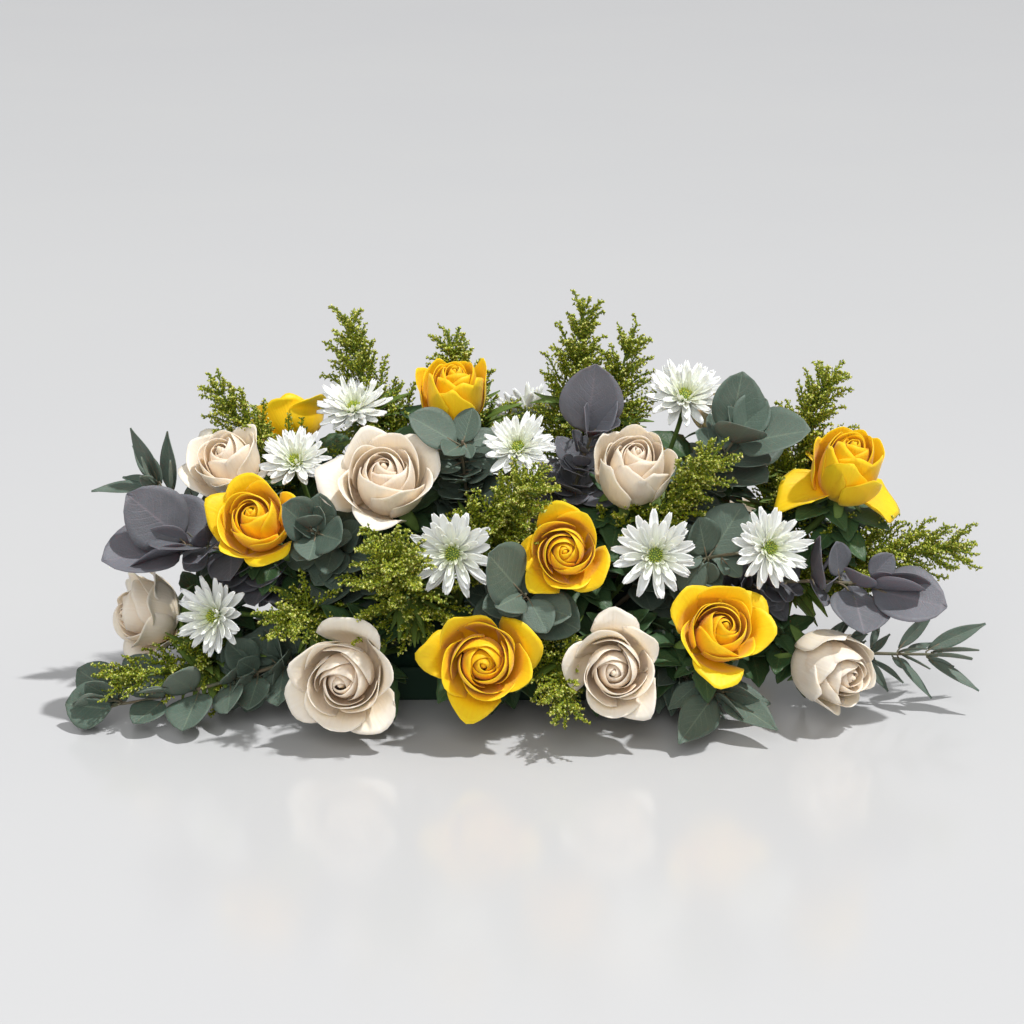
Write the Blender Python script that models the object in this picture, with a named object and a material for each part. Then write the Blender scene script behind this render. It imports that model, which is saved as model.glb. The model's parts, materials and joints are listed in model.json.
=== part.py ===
"""Low, long table centrepiece of cut flowers, built the way a florist builds one.

A brick of wet floral foam stands in a shallow tray. Roses, chrysanthemums, eucalyptus and
goldenrod are pushed into it, each on its own stem in its own socket.

Frame: +X along the centrepiece, -Y its front, +Z up, origin under the middle of the tray. Metres.
"""

import functools
import math
from dataclasses import dataclass

import bmesh
import bpy
from mathutils import Vector
from mathutils.bvhtree import BVHTree

# Driving dimensions of the holder.
FOAM_LENGTH = 0.286
FOAM_WIDTH = 0.100
FOAM_HEIGHT = 0.057
FOAM_CHAMFER = 0.006
TRAY_FLOOR = 0.0025
TRAY_WALL = 0.002
TRAY_HEIGHT = 0.026
TRAY_CORNER = 0.0045
TRAY_DRAFT = 0.002
FOAM_SLACK = 0.002

# Fits and gaps.
TOUCH_GAP = 0.0003
SOCKET_GAP = 0.0005
SOCKET_SIDES = 6
SOCKET_OVERRUN = 0.022
STEM_GAP = 0.0024
LEAF_GAP = 0.0016
SAMPLE_STEP = 0.004

# The stems point away from this line inside the foam.
CORE_HEIGHT = 0.028
CORE_REACH = 0.118
CORE_SHARE = 0.50
FOOT_RADII = (0.014, 0.019, 0.025)
CORE_SHIFTS = (0.0, 0.006, -0.006, 0.012, -0.012, 0.018, -0.018, 0.025, -0.025, 0.032, -0.032, 0.04, -0.04)

STEM_BOWS = ((0, 0, 0), (0.02, 0, 0), (-0.02, 0, 0), (0, 0, 0.02), (0, 0, -0.02), (0.04, 0, 0), (-0.04, 0, 0))

FOAM_BASE = TRAY_FLOOR + TOUCH_GAP
FOAM_TOP = FOAM_BASE + FOAM_HEIGHT


@dataclass(frozen=True)
class Finish:
    """Colour, roughness and metallic value of one material."""

    name: str
    colour: tuple
    roughness: float
    metallic: float = 0.0


YELLOW_PETAL = Finish("yellow_rose_petal", (0.95, 0.55, 0.01), 0.5)
CREAM_PETAL = Finish("cream_rose_petal", (0.87, 0.77, 0.62), 0.5)
WHITE_PETAL = Finish("white_chrysanthemum_petal", (0.90, 0.90, 0.86), 0.5)
SILVER_LEAF = Finish("silver_eucalyptus", (0.14, 0.22, 0.17), 0.6)
PLUM_LEAF = Finish("plum_eucalyptus", (0.13, 0.13, 0.16), 0.6)
GOLDENROD = Finish("goldenrod", (0.33, 0.38, 0.04), 0.6)
WET_FOAM = Finish("wet_foam", (0.02, 0.10, 0.05), 0.95)
TRAY_PLASTIC = Finish("tray_plastic", (0.012, 0.035, 0.02), 0.4)


@dataclass(frozen=True)
class Head:
    """The shape of a flower head as rings along its facing axis, in shares of its radius.

    lobes is the number of petal tips round the rim, and each profile entry is
    (height, radius, depth of the notches between petals), from the neck to the eye.
    """

    lobes: int
    stem_radius: float
    neck: float
    profile: tuple
    finish: Finish


ROSE_PROFILE = (
    (-0.80, 0.17, 0.0),
    (-0.45, 0.55, 0.0),
    (0.02, 1.0, 0.12),
    (0.26, 0.70, 0.0),
    (0.38, 0.37, 0.0),
)
BUD_PROFILE = (
    (-0.95, 0.20, 0.0),
    (-0.60, 0.66, 0.0),
    (0.10, 0.92, 0.08),
    (0.55, 0.66, 0.0),
    (0.68, 0.42, 0.0),
)
FALLEN_PROFILE = (
    (-0.80, 0.20, 0.0),
    (-0.32, 1.45, 0.30),
    (0.02, 0.84, 0.0),
    (0.50, 0.66, 0.0),
    (0.66, 0.40, 0.0),
)
DAISY_PROFILE = (
    (-0.40, 0.20, 0.0),
    (-0.20, 0.45, 0.0),
    (0.12, 1.0, 0.34),
    (0.06, 0.45, 0.0),
)

YELLOW_ROSE = Head(5, 0.0027, -1.05, ROSE_PROFILE, YELLOW_PETAL)
YELLOW_BUD = Head(5, 0.0027, -1.20, BUD_PROFILE, YELLOW_PETAL)
YELLOW_FALLEN = Head(5, 0.0027, -1.05, FALLEN_PROFILE, YELLOW_PETAL)
CREAM_ROSE = Head(5, 0.0027, -1.05, ROSE_PROFILE, CREAM_PETAL)
CREAM_BUD = Head(5, 0.0027, -1.20, BUD_PROFILE, CREAM_PETAL)
DAISY = Head(10, 0.0018, -0.62, DAISY_PROFILE, WHITE_PETAL)


@dataclass(frozen=True)
class Flower:
    """One cut flower. turn is the way it faces round the vertical, 0 to the front and positive
    towards +X, and tilt is how far it looks above the horizontal, both in degrees."""

    name: str
    head: Head
    centre: tuple
    turn: float
    tilt: float
    radius: float


FLOWERS = (
    Flower("yellow_rose_front", YELLOW_ROSE, (-0.019, -0.146, 0.064), 0, 12, 0.038),
    Flower("yellow_rose_front_right", YELLOW_ROSE, (0.141, -0.133, 0.082), 15, 35, 0.036),
    Flower("yellow_rose_middle", YELLOW_ROSE, (0.036, -0.116, 0.132), -3, 20, 0.033),
    Flower("yellow_rose_left", YELLOW_ROSE, (-0.176, -0.090, 0.147), -12, 42, 0.036),
    Flower("yellow_rose_right", YELLOW_FALLEN, (0.234, -0.048, 0.174), 22, 62, 0.031),
    Flower("yellow_rose_top", YELLOW_BUD, (-0.040, -0.026, 0.221), 0, 68, 0.028),
    Flower("yellow_rose_top_left", YELLOW_ROSE, (-0.166, 0.060, 0.176), -150, 45, 0.032),
    Flower("yellow_rose_back_left", YELLOW_ROSE, (-0.086, 0.120, 0.068), 184, 18, 0.037),
    Flower("yellow_rose_back_right", YELLOW_ROSE, (0.090, 0.082, 0.140), 168, 36, 0.036),
    Flower("cream_rose_upper_left", CREAM_ROSE, (-0.087, -0.080, 0.173), -3, 50, 0.042),
    Flower("cream_rose_front_left", CREAM_ROSE, (-0.113, -0.147, 0.052), -8, 6, 0.041),
    Flower("cream_rose_front_right", CREAM_ROSE, (0.069, -0.146, 0.058), -3, 12, 0.036),
    Flower("cream_rose_upper_right", CREAM_BUD, (0.084, -0.070, 0.178), 8, 52, 0.032),
    Flower("cream_rose_right", CREAM_BUD, (0.222, -0.105, 0.044), 32, 0, 0.034),
    Flower("cream_rose_top_left", CREAM_ROSE, (-0.202, -0.018, 0.168), -35, 55, 0.036),
    Flower("cream_rose_top_right", CREAM_ROSE, (0.155, 0.030, 0.195), 140, 58, 0.034),
    Flower("cream_rose_left", CREAM_ROSE, (-0.262, -0.048, 0.064), -68, 12, 0.038),
    Flower("cream_rose_back_left", CREAM_ROSE, (-0.150, 0.088, 0.112), -162, 30, 0.037),
    Flower("cream_rose_back_right", CREAM_ROSE, (0.020, 0.122, 0.064), 178, 16, 0.038),
    Flower("cream_rose_back_end", CREAM_ROSE, (0.172, 0.096, 0.078), 142, 22, 0.038),
    Flower("chrysanthemum_right_of_middle", DAISY, (0.097, -0.113, 0.129), 6, 18, 0.030),
    Flower("chrysanthemum_left_of_middle", DAISY, (-0.040, -0.119, 0.132), -8, 14, 0.030),
    Flower("chrysanthemum_right", DAISY, (0.176, -0.094, 0.128), 24, 20, 0.029),
    Flower("chrysanthemum_top_right", DAISY, (0.122, -0.012, 0.214), 4, 52, 0.029),
    Flower("chrysanthemum_top_left", DAISY, (-0.112, -0.008, 0.204), -4, 62, 0.027),
    Flower("chrysanthemum_upper_left", DAISY, (-0.151, -0.046, 0.176), -10, 48, 0.025),
    Flower("chrysanthemum_top", DAISY, (0.004, -0.062, 0.190), 4, 46, 0.026),
    Flower("chrysanthemum_left", DAISY, (-0.205, -0.098, 0.080), -30, 12, 0.028),
    Flower("chrysanthemum_back_top", DAISY, (0.012, 0.066, 0.180), 176, 48, 0.029),
    Flower("chrysanthemum_back_middle", DAISY, (-0.034, 0.096, 0.130), 180, 28, 0.030),
)


@dataclass(frozen=True)
class Branch:
    """One cut shoot of foliage. path holds the points that it passes on its way to its tip.

    count is the number of leaf nodes, size the length of its lowest leaves or side shoots and
    taper what is left of it at the top, narrow the width of a leaf for its length, start the bare
    share of the stem, and twist the turn of the stem's sides in degrees. tips holds pairs of leaf
    tips for the upper nodes.
    """

    name: str
    path: tuple
    count: int
    size: float
    taper: float = 0.5
    narrow: float = 0.9
    start: float = 0.4
    twist: float = 0.0
    finish: Finish = SILVER_LEAF
    tips: tuple = ()


EUCALYPTUS = (
    Branch(
        "eucalyptus_top", ((-0.036, -0.040, 0.165), (-0.034, -0.064, 0.200)),
        count=6, size=0.040, narrow=0.8, start=0.34,
        tips=(
            ((-0.074, -0.005, 0.218), (-0.012, -0.020, 0.192)),
            ((-0.080, -0.062, 0.214), (0.008, -0.058, 0.216)),
        ),
    ),
    Branch(
        "eucalyptus_top_right", ((0.045, -0.030, 0.165), (0.058, -0.054, 0.204)),
        count=6, size=0.040, start=0.34, finish=PLUM_LEAF,
        tips=(
            ((0.022, -0.046, 0.198), (0.082, -0.040, 0.206)),
            ((0.038, -0.052, 0.246), (0.104, -0.064, 0.236)),
        ),
    ),
    Branch(
        "eucalyptus_right_top", ((0.138, -0.035, 0.160), (0.160, -0.050, 0.202)),
        count=6, size=0.038, start=0.37,
        tips=(
            ((0.176, -0.070, 0.168), (0.122, -0.062, 0.178)),
            ((0.192, -0.020, 0.196), (0.128, -0.055, 0.200)),
            ((0.160, -0.036, 0.238), (0.204, -0.056, 0.206)),
        ),
    ),
    Branch(
        "eucalyptus_left", ((-0.190, -0.055, 0.125), (-0.240, -0.078, 0.122)),
        count=6, size=0.042, start=0.32, finish=PLUM_LEAF,
        tips=(
            ((-0.194, -0.114, 0.104), (-0.212, -0.064, 0.156)),
            ((-0.226, -0.122, 0.122), (-0.246, -0.048, 0.150)),
            ((-0.282, -0.092, 0.118), (-0.284, -0.060, 0.152)),
        ),
    ),
    Branch(
        "eucalyptus_left_low", ((-0.180, -0.105, 0.036), (-0.300, -0.100, 0.020)),
        count=7, size=0.040, narrow=0.85, start=0.30,
        tips=(
            ((-0.196, -0.142, 0.018), (-0.176, -0.140, 0.072)),
            ((-0.236, -0.136, 0.012), (-0.250, -0.100, 0.060)),
            ((-0.280, -0.126, 0.012), (-0.282, -0.080, 0.042)),
            ((-0.322, -0.106, 0.016), (-0.314, -0.084, 0.036)),
        ),
    ),
    Branch(
        "eucalyptus_right", ((0.186, -0.075, 0.092), (0.268, -0.084, 0.090)),
        count=7, size=0.036, start=0.28, finish=PLUM_LEAF,
        tips=(
            ((0.196, -0.112, 0.102), (0.186, -0.044, 0.108)),
            ((0.214, -0.112, 0.130), (0.222, -0.128, 0.092)),
            ((0.256, -0.118, 0.074), (0.244, -0.080, 0.128)),
            ((0.300, -0.096, 0.086), (0.284, -0.078, 0.118)),
        ),
    ),
    Branch(
        "eucalyptus_right_twig", ((0.236, -0.066, 0.040), (0.312, -0.060, 0.038)),
        count=5, size=0.036, narrow=0.26, start=0.47,
        tips=(
            ((0.272, -0.096, 0.030), (0.262, -0.040, 0.058)),
            ((0.296, -0.074, 0.010), (0.300, -0.046, 0.066)),
            ((0.328, -0.084, 0.022), (0.336, -0.050, 0.058)),
        ),
    ),
    Branch(
        "eucalyptus_middle", ((0.012, -0.095, 0.092), (0.018, -0.132, 0.108)),
        count=7, size=0.046, taper=0.6, start=0.25,
        tips=(
            ((-0.020, -0.118, 0.092), (0.056, -0.118, 0.078)),
            ((-0.014, -0.146, 0.108), (0.060, -0.148, 0.090)),
            ((0.024, -0.158, 0.082), (0.004, -0.150, 0.142)),
        ),
    ),
    Branch(
        "eucalyptus_right_middle", ((0.128, -0.078, 0.116), (0.148, -0.116, 0.132)),
        count=7, size=0.034, start=0.27,
        tips=(
            ((0.106, -0.102, 0.096), (0.160, -0.070, 0.152)),
            ((0.108, -0.140, 0.112), (0.180, -0.126, 0.108)),
            ((0.136, -0.146, 0.158), (0.162, -0.150, 0.124)),
        ),
    ),
    Branch(
        "eucalyptus_right_low", ((0.118, -0.085, 0.040), (0.150, -0.120, 0.038)),
        count=6, size=0.042, narrow=0.5, start=0.34,
        tips=(
            ((0.098, -0.134, 0.032), (0.180, -0.100, 0.016)),
            ((0.112, -0.160, 0.010), (0.180, -0.146, 0.016)),
        ),
    ),
    Branch(
        "eucalyptus_left_middle", ((-0.128, -0.070, 0.128), (-0.138, -0.108, 0.146)),
        count=7, size=0.046, taper=0.6, start=0.25,
        tips=(
            ((-0.158, -0.070, 0.110), (-0.108, -0.100, 0.112)),
            ((-0.122, -0.094, 0.184), (-0.166, -0.124, 0.126)),
            ((-0.172, -0.130, 0.156), (-0.106, -0.130, 0.146)),
        ),
    ),
    Branch(
        "eucalyptus_left_twig", ((-0.222, -0.008, 0.125), (-0.262, -0.018, 0.158)),
        count=6, size=0.038, narrow=0.4, start=0.42,
        tips=(
            ((-0.232, -0.046, 0.130), (-0.222, 0.030, 0.150)),
            ((-0.248, 0.004, 0.184), (-0.270, -0.040, 0.124)),
            ((-0.278, -0.022, 0.194), (-0.298, -0.024, 0.148)),
        ),
    ),
    Branch(
        "eucalyptus_back_left", ((-0.150, 0.045, 0.070), (-0.222, 0.078, 0.076)),
        count=7, size=0.050, taper=0.7, narrow=0.85, start=0.34, twist=45,
    ),
    Branch(
        "eucalyptus_back_right", ((0.066, 0.075, 0.088), (0.104, 0.128, 0.096)),
        count=7, size=0.048, taper=0.8, narrow=0.85, start=0.26, twist=30,
    ),
)

GOLDENRODS = (
    Branch(
        "goldenrod_front_left", ((-0.126, -0.080, 0.100), (-0.156, -0.142, 0.108)),
        count=8, size=0.040, taper=0.5, start=0.36,
    ),
    Branch(
        "goldenrod_top_left", ((-0.110, 0.012, 0.180), (-0.117, 0.000, 0.276)),
        count=8, size=0.050, taper=0.3, start=0.45,
    ),
    Branch(
        "goldenrod_left", ((-0.175, 0.028, 0.150), (-0.216, 0.008, 0.224)),
        count=7, size=0.042, taper=0.35, start=0.5, twist=45,
    ),
    Branch(
        "goldenrod_top", ((-0.026, 0.020, 0.190), (-0.050, 0.010, 0.268)),
        count=7, size=0.042, taper=0.3, start=0.5,
    ),
    Branch(
        "goldenrod_top_middle", ((0.026, 0.020, 0.190), (0.046, 0.002, 0.288)),
        count=8, size=0.050, taper=0.3, start=0.45, twist=45,
    ),
    Branch(
        "goldenrod_top_back", ((0.062, 0.034, 0.180), (0.094, 0.016, 0.276)),
        count=7, size=0.044, taper=0.3, start=0.45, twist=20,
    ),
    Branch(
        "goldenrod_right_top", ((0.190, 0.000, 0.160), (0.228, -0.004, 0.234)),
        count=9, size=0.052, taper=0.35, start=0.36,
    ),
    Branch(
        "goldenrod_right", ((0.225, -0.030, 0.104), (0.326, -0.040, 0.112)),
        count=9, size=0.052, taper=0.4, start=0.36, twist=45,
    ),
    Branch(
        "goldenrod_middle", ((-0.004, -0.072, 0.130), (0.012, -0.116, 0.184)),
        count=8, size=0.046, taper=0.5, start=0.36,
    ),
    Branch(
        "goldenrod_left_middle", ((-0.070, -0.098, 0.100), (-0.080, -0.152, 0.140)),
        count=10, size=0.060, taper=0.5, start=0.36, twist=45,
    ),
    Branch(
        "goldenrod_front", ((0.018, -0.110, 0.060), (0.030, -0.168, 0.034)),
        count=8, size=0.040, taper=0.4, start=0.36, twist=20,
    ),
    Branch(
        "goldenrod_right_middle", ((0.112, -0.060, 0.140), (0.138, -0.100, 0.200)),
        count=8, size=0.046, taper=0.4, start=0.36, twist=45,
    ),
    Branch(
        "goldenrod_left_low", ((-0.200, -0.080, 0.052), (-0.284, -0.110, 0.052)),
        count=8, size=0.042, taper=0.4, start=0.48,
    ),
    Branch(
        "goldenrod_back", ((-0.012, 0.066, 0.086), (-0.030, 0.132, 0.092)),
        count=8, size=0.050, taper=0.5, start=0.38,
    ),
)

QUADRANTS = ((1, 1), (-1, 1), (-1, -1), (1, -1))
TRAY_SOLIDS = 1
STEM_SIDES = 5
STEM_SHARES = (1.0, 0.8, 0.6, 0.35, 0.0)
GREEN_STEM_RADIUS = 0.0016
LEAF_THICKNESS = 0.0010
PETIOLE = 0.0035
PETIOLE_TURN = 0.65
STEM_CLEARANCE = 0.0028
SPINE_STEPS = 6
NODE_LENGTH = 0.0035
LEAF_SECTIONS = ((0.0, 0.06), (0.36, 0.94), (0.70, 0.92), (1.0, 0.30))
LEAF_ORDER = (0, 2, 1, 3)
LEAF_TURNS = (0, 25, -25, 50, -50, 80, -80)
LEAF_SIZES = (1.0, 0.8, 0.62)
TIP_SHIFTS = (0.0, 0.010, -0.010, 0.020, -0.020)
SHOOT_SECTIONS = ((0.45, 1.0), (1.0, 0.30))
SHOOT_RADIUS = 0.0040
SHOOT_PLUMP = 0.14
SHOOT_LEANS = (50, 35, 65, 22)
CROSS_SHARE = 0.8
PATH_NUDGES = ((0, 0, 0), (0.008, 0, 0), (-0.008, 0, 0), (0, 0, 0.008), (0, 0, -0.008), (0.016, 0, 0),
               (-0.016, 0, 0), (0, 0.012, 0), (0, 0, 0.016), (0, 0, -0.016))
GROUND_GAP = 0.0015


def clear_scene():
    """Empties the file that the script runs in."""
    for obj in list(bpy.data.objects):
        bpy.data.objects.remove(obj, do_unlink=True)


def material(finish):
    """The Blender material for a finish, made once."""
    found = bpy.data.materials.get(finish.name)
    if found:
        return found
    made = bpy.data.materials.new(finish.name)
    made.use_nodes = True
    shader = made.node_tree.nodes["Principled BSDF"]
    shader.inputs["Base Color"].default_value = (*finish.colour, 1.0)
    shader.inputs["Roughness"].default_value = finish.roughness
    shader.inputs["Metallic"].default_value = finish.metallic
    return made


def add_object(name, bm, finish, smooth=False):
    """Turns a bmesh into a named object that holds its material."""
    mesh = bpy.data.meshes.new(name)
    bm.to_mesh(mesh)
    bm.free()
    if smooth:
        mesh.shade_smooth()
        mesh.set_sharp_from_angle(angle=math.radians(35))
    mesh.materials.append(material(finish))
    obj = bpy.data.objects.new(name, mesh)
    bpy.context.scene.collection.objects.link(obj)
    return obj


def facing(turn, tilt):
    """Unit vector for a turn round the vertical and a tilt above the horizontal, in degrees."""
    turn, tilt = math.radians(turn), math.radians(tilt)
    flat = math.cos(tilt)
    return Vector((math.sin(turn) * flat, -math.cos(turn) * flat, math.sin(tilt)))


def across(direction, near):
    """Unit vector square to direction, as close as it can be to near."""
    side = near - direction * near.dot(direction)
    if side.length < 1e-6:
        side = direction.orthogonal()
    return side.normalized()


class Crowd:
    """What is already standing in the foam, so that the next stem finds a free way past it."""

    def __init__(self):
        self.trees = []

    def add(self, bm):
        """Remembers a solid from its bmesh, whose faces point outwards."""
        bm.normal_update()
        corners = [v.co for v in bm.verts]
        low = Vector(min(c[i] for c in corners) for i in range(3))
        high = Vector(max(c[i] for c in corners) for i in range(3))
        self.trees.append((BVHTree.FromBMesh(bm), low, high))

    def add_limb(self, sections):
        """Remembers a leaf or side shoot from its sections."""
        limb = bmesh.new()
        corners = [[limb.verts.new(corner) for corner in section] for section in sections]
        for low, high in zip(corners, corners[1:]):
            bridge(limb, low, high)
        limb.faces.new(corners[0][::-1])
        limb.faces.new(corners[-1])
        bmesh.ops.recalc_face_normals(limb, faces=limb.faces)
        self.add(limb)
        limb.free()

    def clear(self, points, margin, ground=GROUND_GAP):
        """True if every point keeps margin to all solids, lies in none and is above the table."""
        for point in points:
            if point.z < ground + margin:
                return False
            for tree, low, high in self.trees:
                if any(point[i] < low[i] - margin or point[i] > high[i] + margin for i in range(3)):
                    continue
                spot, normal, _, distance = tree.find_nearest(point)
                if distance < margin or (point - spot).dot(normal) < -1e-7:
                    return False
        return True


def bezier(points, share):
    """A point on the Bezier curve of any degree with these control points."""
    points = list(points)
    while len(points) > 1:
        points = [a.lerp(b, share) for a, b in zip(points, points[1:])]
    return points[0]


def sampled(curve, count):
    """count + 1 points evenly along the curve's parameter."""
    return [curve(i / count) for i in range(count + 1)]


def curve_length(curve):
    """Length of the curve, near enough to space things along it."""
    points = sampled(curve, 16)
    return sum((b - a).length for a, b in zip(points, points[1:]))


def ring(bm, centre, side, up, radii):
    """A closed ring of vertices round centre in the plane of side and up."""
    made = []
    for i, radius in enumerate(radii):
        angle = 2 * math.pi * i / len(radii)
        made.append(bm.verts.new(centre + (side * math.cos(angle) + up * math.sin(angle)) * radius))
    return made


def bridge(bm, low, high):
    """Faces between two rings. The high ring may have a whole number of times as many vertices."""
    sides, share = len(low), len(high) // len(low)
    faces = []
    for i in range(sides):
        a, b = low[i], low[(i + 1) % sides]
        fan = [high[(i * share + k) % len(high)] for k in range(share + 1)]
        if share == 1:
            faces.append(bm.faces.new((a, b, fan[1], fan[0])))
            continue
        for p, q in zip(fan, fan[1:]):
            faces.append(bm.faces.new((a, q, p)))
        faces.append(bm.faces.new((a, b, fan[-1])))
    return faces


def core_ways(target):
    """Pairs of foot point and direction for a stem to target, the most natural one first."""
    for radius in FOOT_RADII:
        for shift in CORE_SHIFTS:
            x = max(-CORE_REACH, min(CORE_REACH, target.x * CORE_SHARE)) + shift
            core = Vector((x, 0.0, CORE_HEIGHT))
            away = (target - core).normalized()
            if away.z < -0.02:
                away = Vector((away.x, away.y, -0.02)).normalized()
            yield core + away * radius, away


def find_route(crowd, controls, target, radius, forced=True):
    """The first free curve from the foam's core, through the control points, that ends at the last.

    Where none is free, it gives the curve that is blocked least if forced, or None.
    """
    if not forced and not crowd.clear([controls[-1]], radius):
        return None
    best, most = None, -1
    for bow in STEM_BOWS:
        for foot, away in core_ways(target):
            reach = (controls[0] - foot).length
            aside = across(away, Vector(bow)) * Vector(bow).length
            points = [foot, foot + away * reach * 0.6 + aside, *controls]
            curve = functools.partial(bezier, points)
            count = max(8, round(curve_length(curve) / SAMPLE_STEP))
            spots = sampled(curve, count)[:-1]
            if crowd.clear(spots, radius + STEM_GAP):
                return curve
            if forced:
                free = sum(crowd.clear([spot], radius + STEM_GAP) for spot in spots) / len(spots)
                if free > most:
                    best, most = curve, free
    return best


def stem_rings(bm, curve, shares, sides, radius, side):
    """Rings of a stem along its curve, each with its side vector and its direction."""
    rings = []
    for share in shares:
        step = 0.01
        along = (curve(min(1.0, share + step)) - curve(max(0.0, share - step))).normalized()
        side = across(along, side)
        rings.append((ring(bm, curve(share), side, along.cross(side), [radius] * sides), side, along))
    return rings


def head_rings(bm, flower):
    """The rings of a flower head, from its neck to its eye."""
    head, axis = flower.head, facing(flower.turn, flower.tilt)
    side = across(axis, Vector((0, 0, 1)))
    up = axis.cross(side)
    centre = Vector(flower.centre)
    made = []
    for height, share, notch in head.profile:
        radii = [flower.radius * share * (1 - notch * (i % 2)) for i in range(2 * head.lobes)]
        made.append(ring(bm, centre + axis * height * flower.radius, side, up, radii))
    return made


def head_solid(flower):
    """The closed head by itself, which later stems keep clear of."""
    bm = bmesh.new()
    rings = head_rings(bm, flower)
    for low, high in zip(rings, rings[1:]):
        bridge(bm, low, high)
    bm.faces.new(rings[0][::-1])
    bm.faces.new(rings[-1])
    return bm


def flower_solid(flower, curve):
    """One cut flower: its stem from foot to neck and its head, as one closed solid."""
    bm = bmesh.new()
    head, axis = flower.head, facing(flower.turn, flower.tilt)
    side = across(axis, Vector((0, 0, 1)))
    stem = stem_rings(bm, curve, STEM_SHARES, STEM_SIDES, head.stem_radius, side)
    rings = [made for made, _, _ in reversed(stem)]
    heads = head_rings(bm, flower)
    chain = rings + heads
    for low, high in zip(chain, chain[1:]):
        bridge(bm, low, high)
    bm.faces.new(rings[0][::-1])
    bm.faces.new(heads[-1])
    return bm


def sprout(bm, face, sections):
    """Grows a limb of four-cornered sections from one side face of a stem."""
    base = list(face.verts)
    normal = face.normal.copy()
    bm.faces.remove(face)
    last = base
    for corners in sections:
        around = (corners[1] - corners[0]).cross(corners[2] - corners[1])
        if around.dot(normal) < 0:
            corners = corners[::-1]
        turns = [corners[k:] + corners[:k] for k in range(4)]
        best = min(turns, key=lambda turn: sum((v.co - c).length for v, c in zip(last, turn)))
        made = [bm.verts.new(corner) for corner in best]
        for i in range(4):
            j = (i + 1) % 4
            bm.faces.new((last[i], last[j], made[j], made[i]))
        last = made
        normal = (best[1] - best[0]).cross(best[2] - best[1]).normalized()
    bm.faces.new(last)


def leaf_sections(base, along, side, length, width):
    """Four-cornered sections of a flat leaf blade."""
    normal = along.cross(side).normalized()
    half = LEAF_THICKNESS / 2
    made = []
    for share, wide in LEAF_SECTIONS:
        middle = base + along * length * share
        edge = side * width * wide / 2
        made.append([middle + edge + normal * half, middle - edge + normal * half,
                     middle - edge - normal * half, middle + edge - normal * half])
    return made


def leaf_points(sections):
    """Points over a leaf, close enough together that nothing slips between them."""
    points = []
    for low, high in zip(sections, sections[1:]):
        steps = max(2, round((high[0] - low[0]).length / 0.004))
        for k in range(steps + 1):
            share = k / steps
            a, b = low[0].lerp(high[0], share), low[1].lerp(high[1], share)
            across_steps = max(1, round((b - a).length / 0.005))
            points += [a.lerp(b, i / across_steps) for i in range(across_steps + 1)]
    return points


def natural_tips(base, outward, along, length):
    """Leaf tips to try where none is given: out and up from the stem, then turned round it."""
    axis = along.cross(outward).normalized()
    for size in LEAF_SIZES:
        for turn in LEAF_TURNS:
            for lean in (35, 60, 15):
                grow = outward * math.cos(math.radians(lean)) + along * math.sin(math.radians(lean))
                grow = (grow + axis * math.sin(math.radians(turn))).normalized()
                yield base + grow * length * size


def shifted_tips(base, tip):
    """The given leaf tip, then places round it, then shorter leaves the same way."""
    for size in LEAF_SIZES:
        for rise in TIP_SHIFTS:
            for out in TIP_SHIFTS:
                for aside in TIP_SHIFTS:
                    yield base + (tip + Vector((aside, out, rise)) - base) * size


def spine_of(rings):
    """Points close together along the middle of a stem."""
    middles = [sum((vert.co for vert in made), Vector()) / len(made) for made, _, _ in rings]
    return [a.lerp(b, k / SPINE_STEPS) for a, b in zip(middles, middles[1:]) for k in range(SPINE_STEPS)]


def off_spine(points, spine, margin):
    """True if every point keeps margin to the middle of the stem that bears it."""
    return all((point - spot).length > margin for point in points for spot in spine)


def free_leaf(crowd, face, spine, tips, narrow):
    """Sections of the first leaf among the tips that touches nothing, or None.

    It leaves the stem square to its side face and then turns towards its tip.
    """
    base, outward = face.calc_center_median(), face.normal.copy()
    for tip in tips:
        first = (tip - base).normalized()
        foot = base + (outward * PETIOLE_TURN + first * (1 - PETIOLE_TURN)).normalized() * PETIOLE
        grow, length = (tip - foot).normalized(), (tip - foot).length
        sunward = Vector((base.x * 0.4, base.y, 0.10)).normalized() + Vector((0, -0.35, 0.25))
        side = grow.cross(sunward).normalized()
        sections = leaf_sections(foot, grow, side, length, length * narrow)
        points = leaf_points(sections)
        if any(in_foam(point, LEAF_GAP) for point in points):
            continue
        if crowd.clear(points, LEAF_GAP + LEAF_THICKNESS) and off_spine(points, spine, STEM_CLEARANCE):
            return sections
    return None


def side_face(bm, low, high, index):
    """The side face of a four-sided stem between two rings."""
    pair = {low[index], low[(index + 1) % 4], high[index], high[(index + 1) % 4]}
    return next(f for f in bm.faces if len(f.verts) == 4 and set(f.verts) == pair)


def node_shares(branch, length, node_length):
    """Shares of the stem for the rings: foot, bare stem, then two rings for every node, and tip."""
    shares = [0.0, branch.start * 0.55]
    span = (0.97 - branch.start) / branch.count
    for i in range(branch.count):
        low = branch.start + span * (i + 0.35)
        shares += [low, low + node_length / length]
    return shares + [1.0]


def green_stem(bm, curve, shares, radius, twist):
    """The four-sided stem of a shoot, closed at both ends."""
    along = (curve(0.02) - curve(0.0)).normalized()
    hint = across(along, Vector((math.cos(math.radians(twist)), 0.2, math.sin(math.radians(twist)))))
    rings = stem_rings(bm, curve, shares, 4, radius, hint)
    tip_centre = curve(1.0)
    for vert in rings[-1][0]:
        vert.co = tip_centre + (vert.co - tip_centre) * 0.45
    for (low, _, _), (high, _, _) in zip(rings, rings[1:]):
        bridge(bm, low, high)
    bm.faces.new(rings[0][0][::-1])
    bm.faces.new(rings[-1][0])
    bmesh.ops.recalc_face_normals(bm, faces=bm.faces)
    return rings


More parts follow.
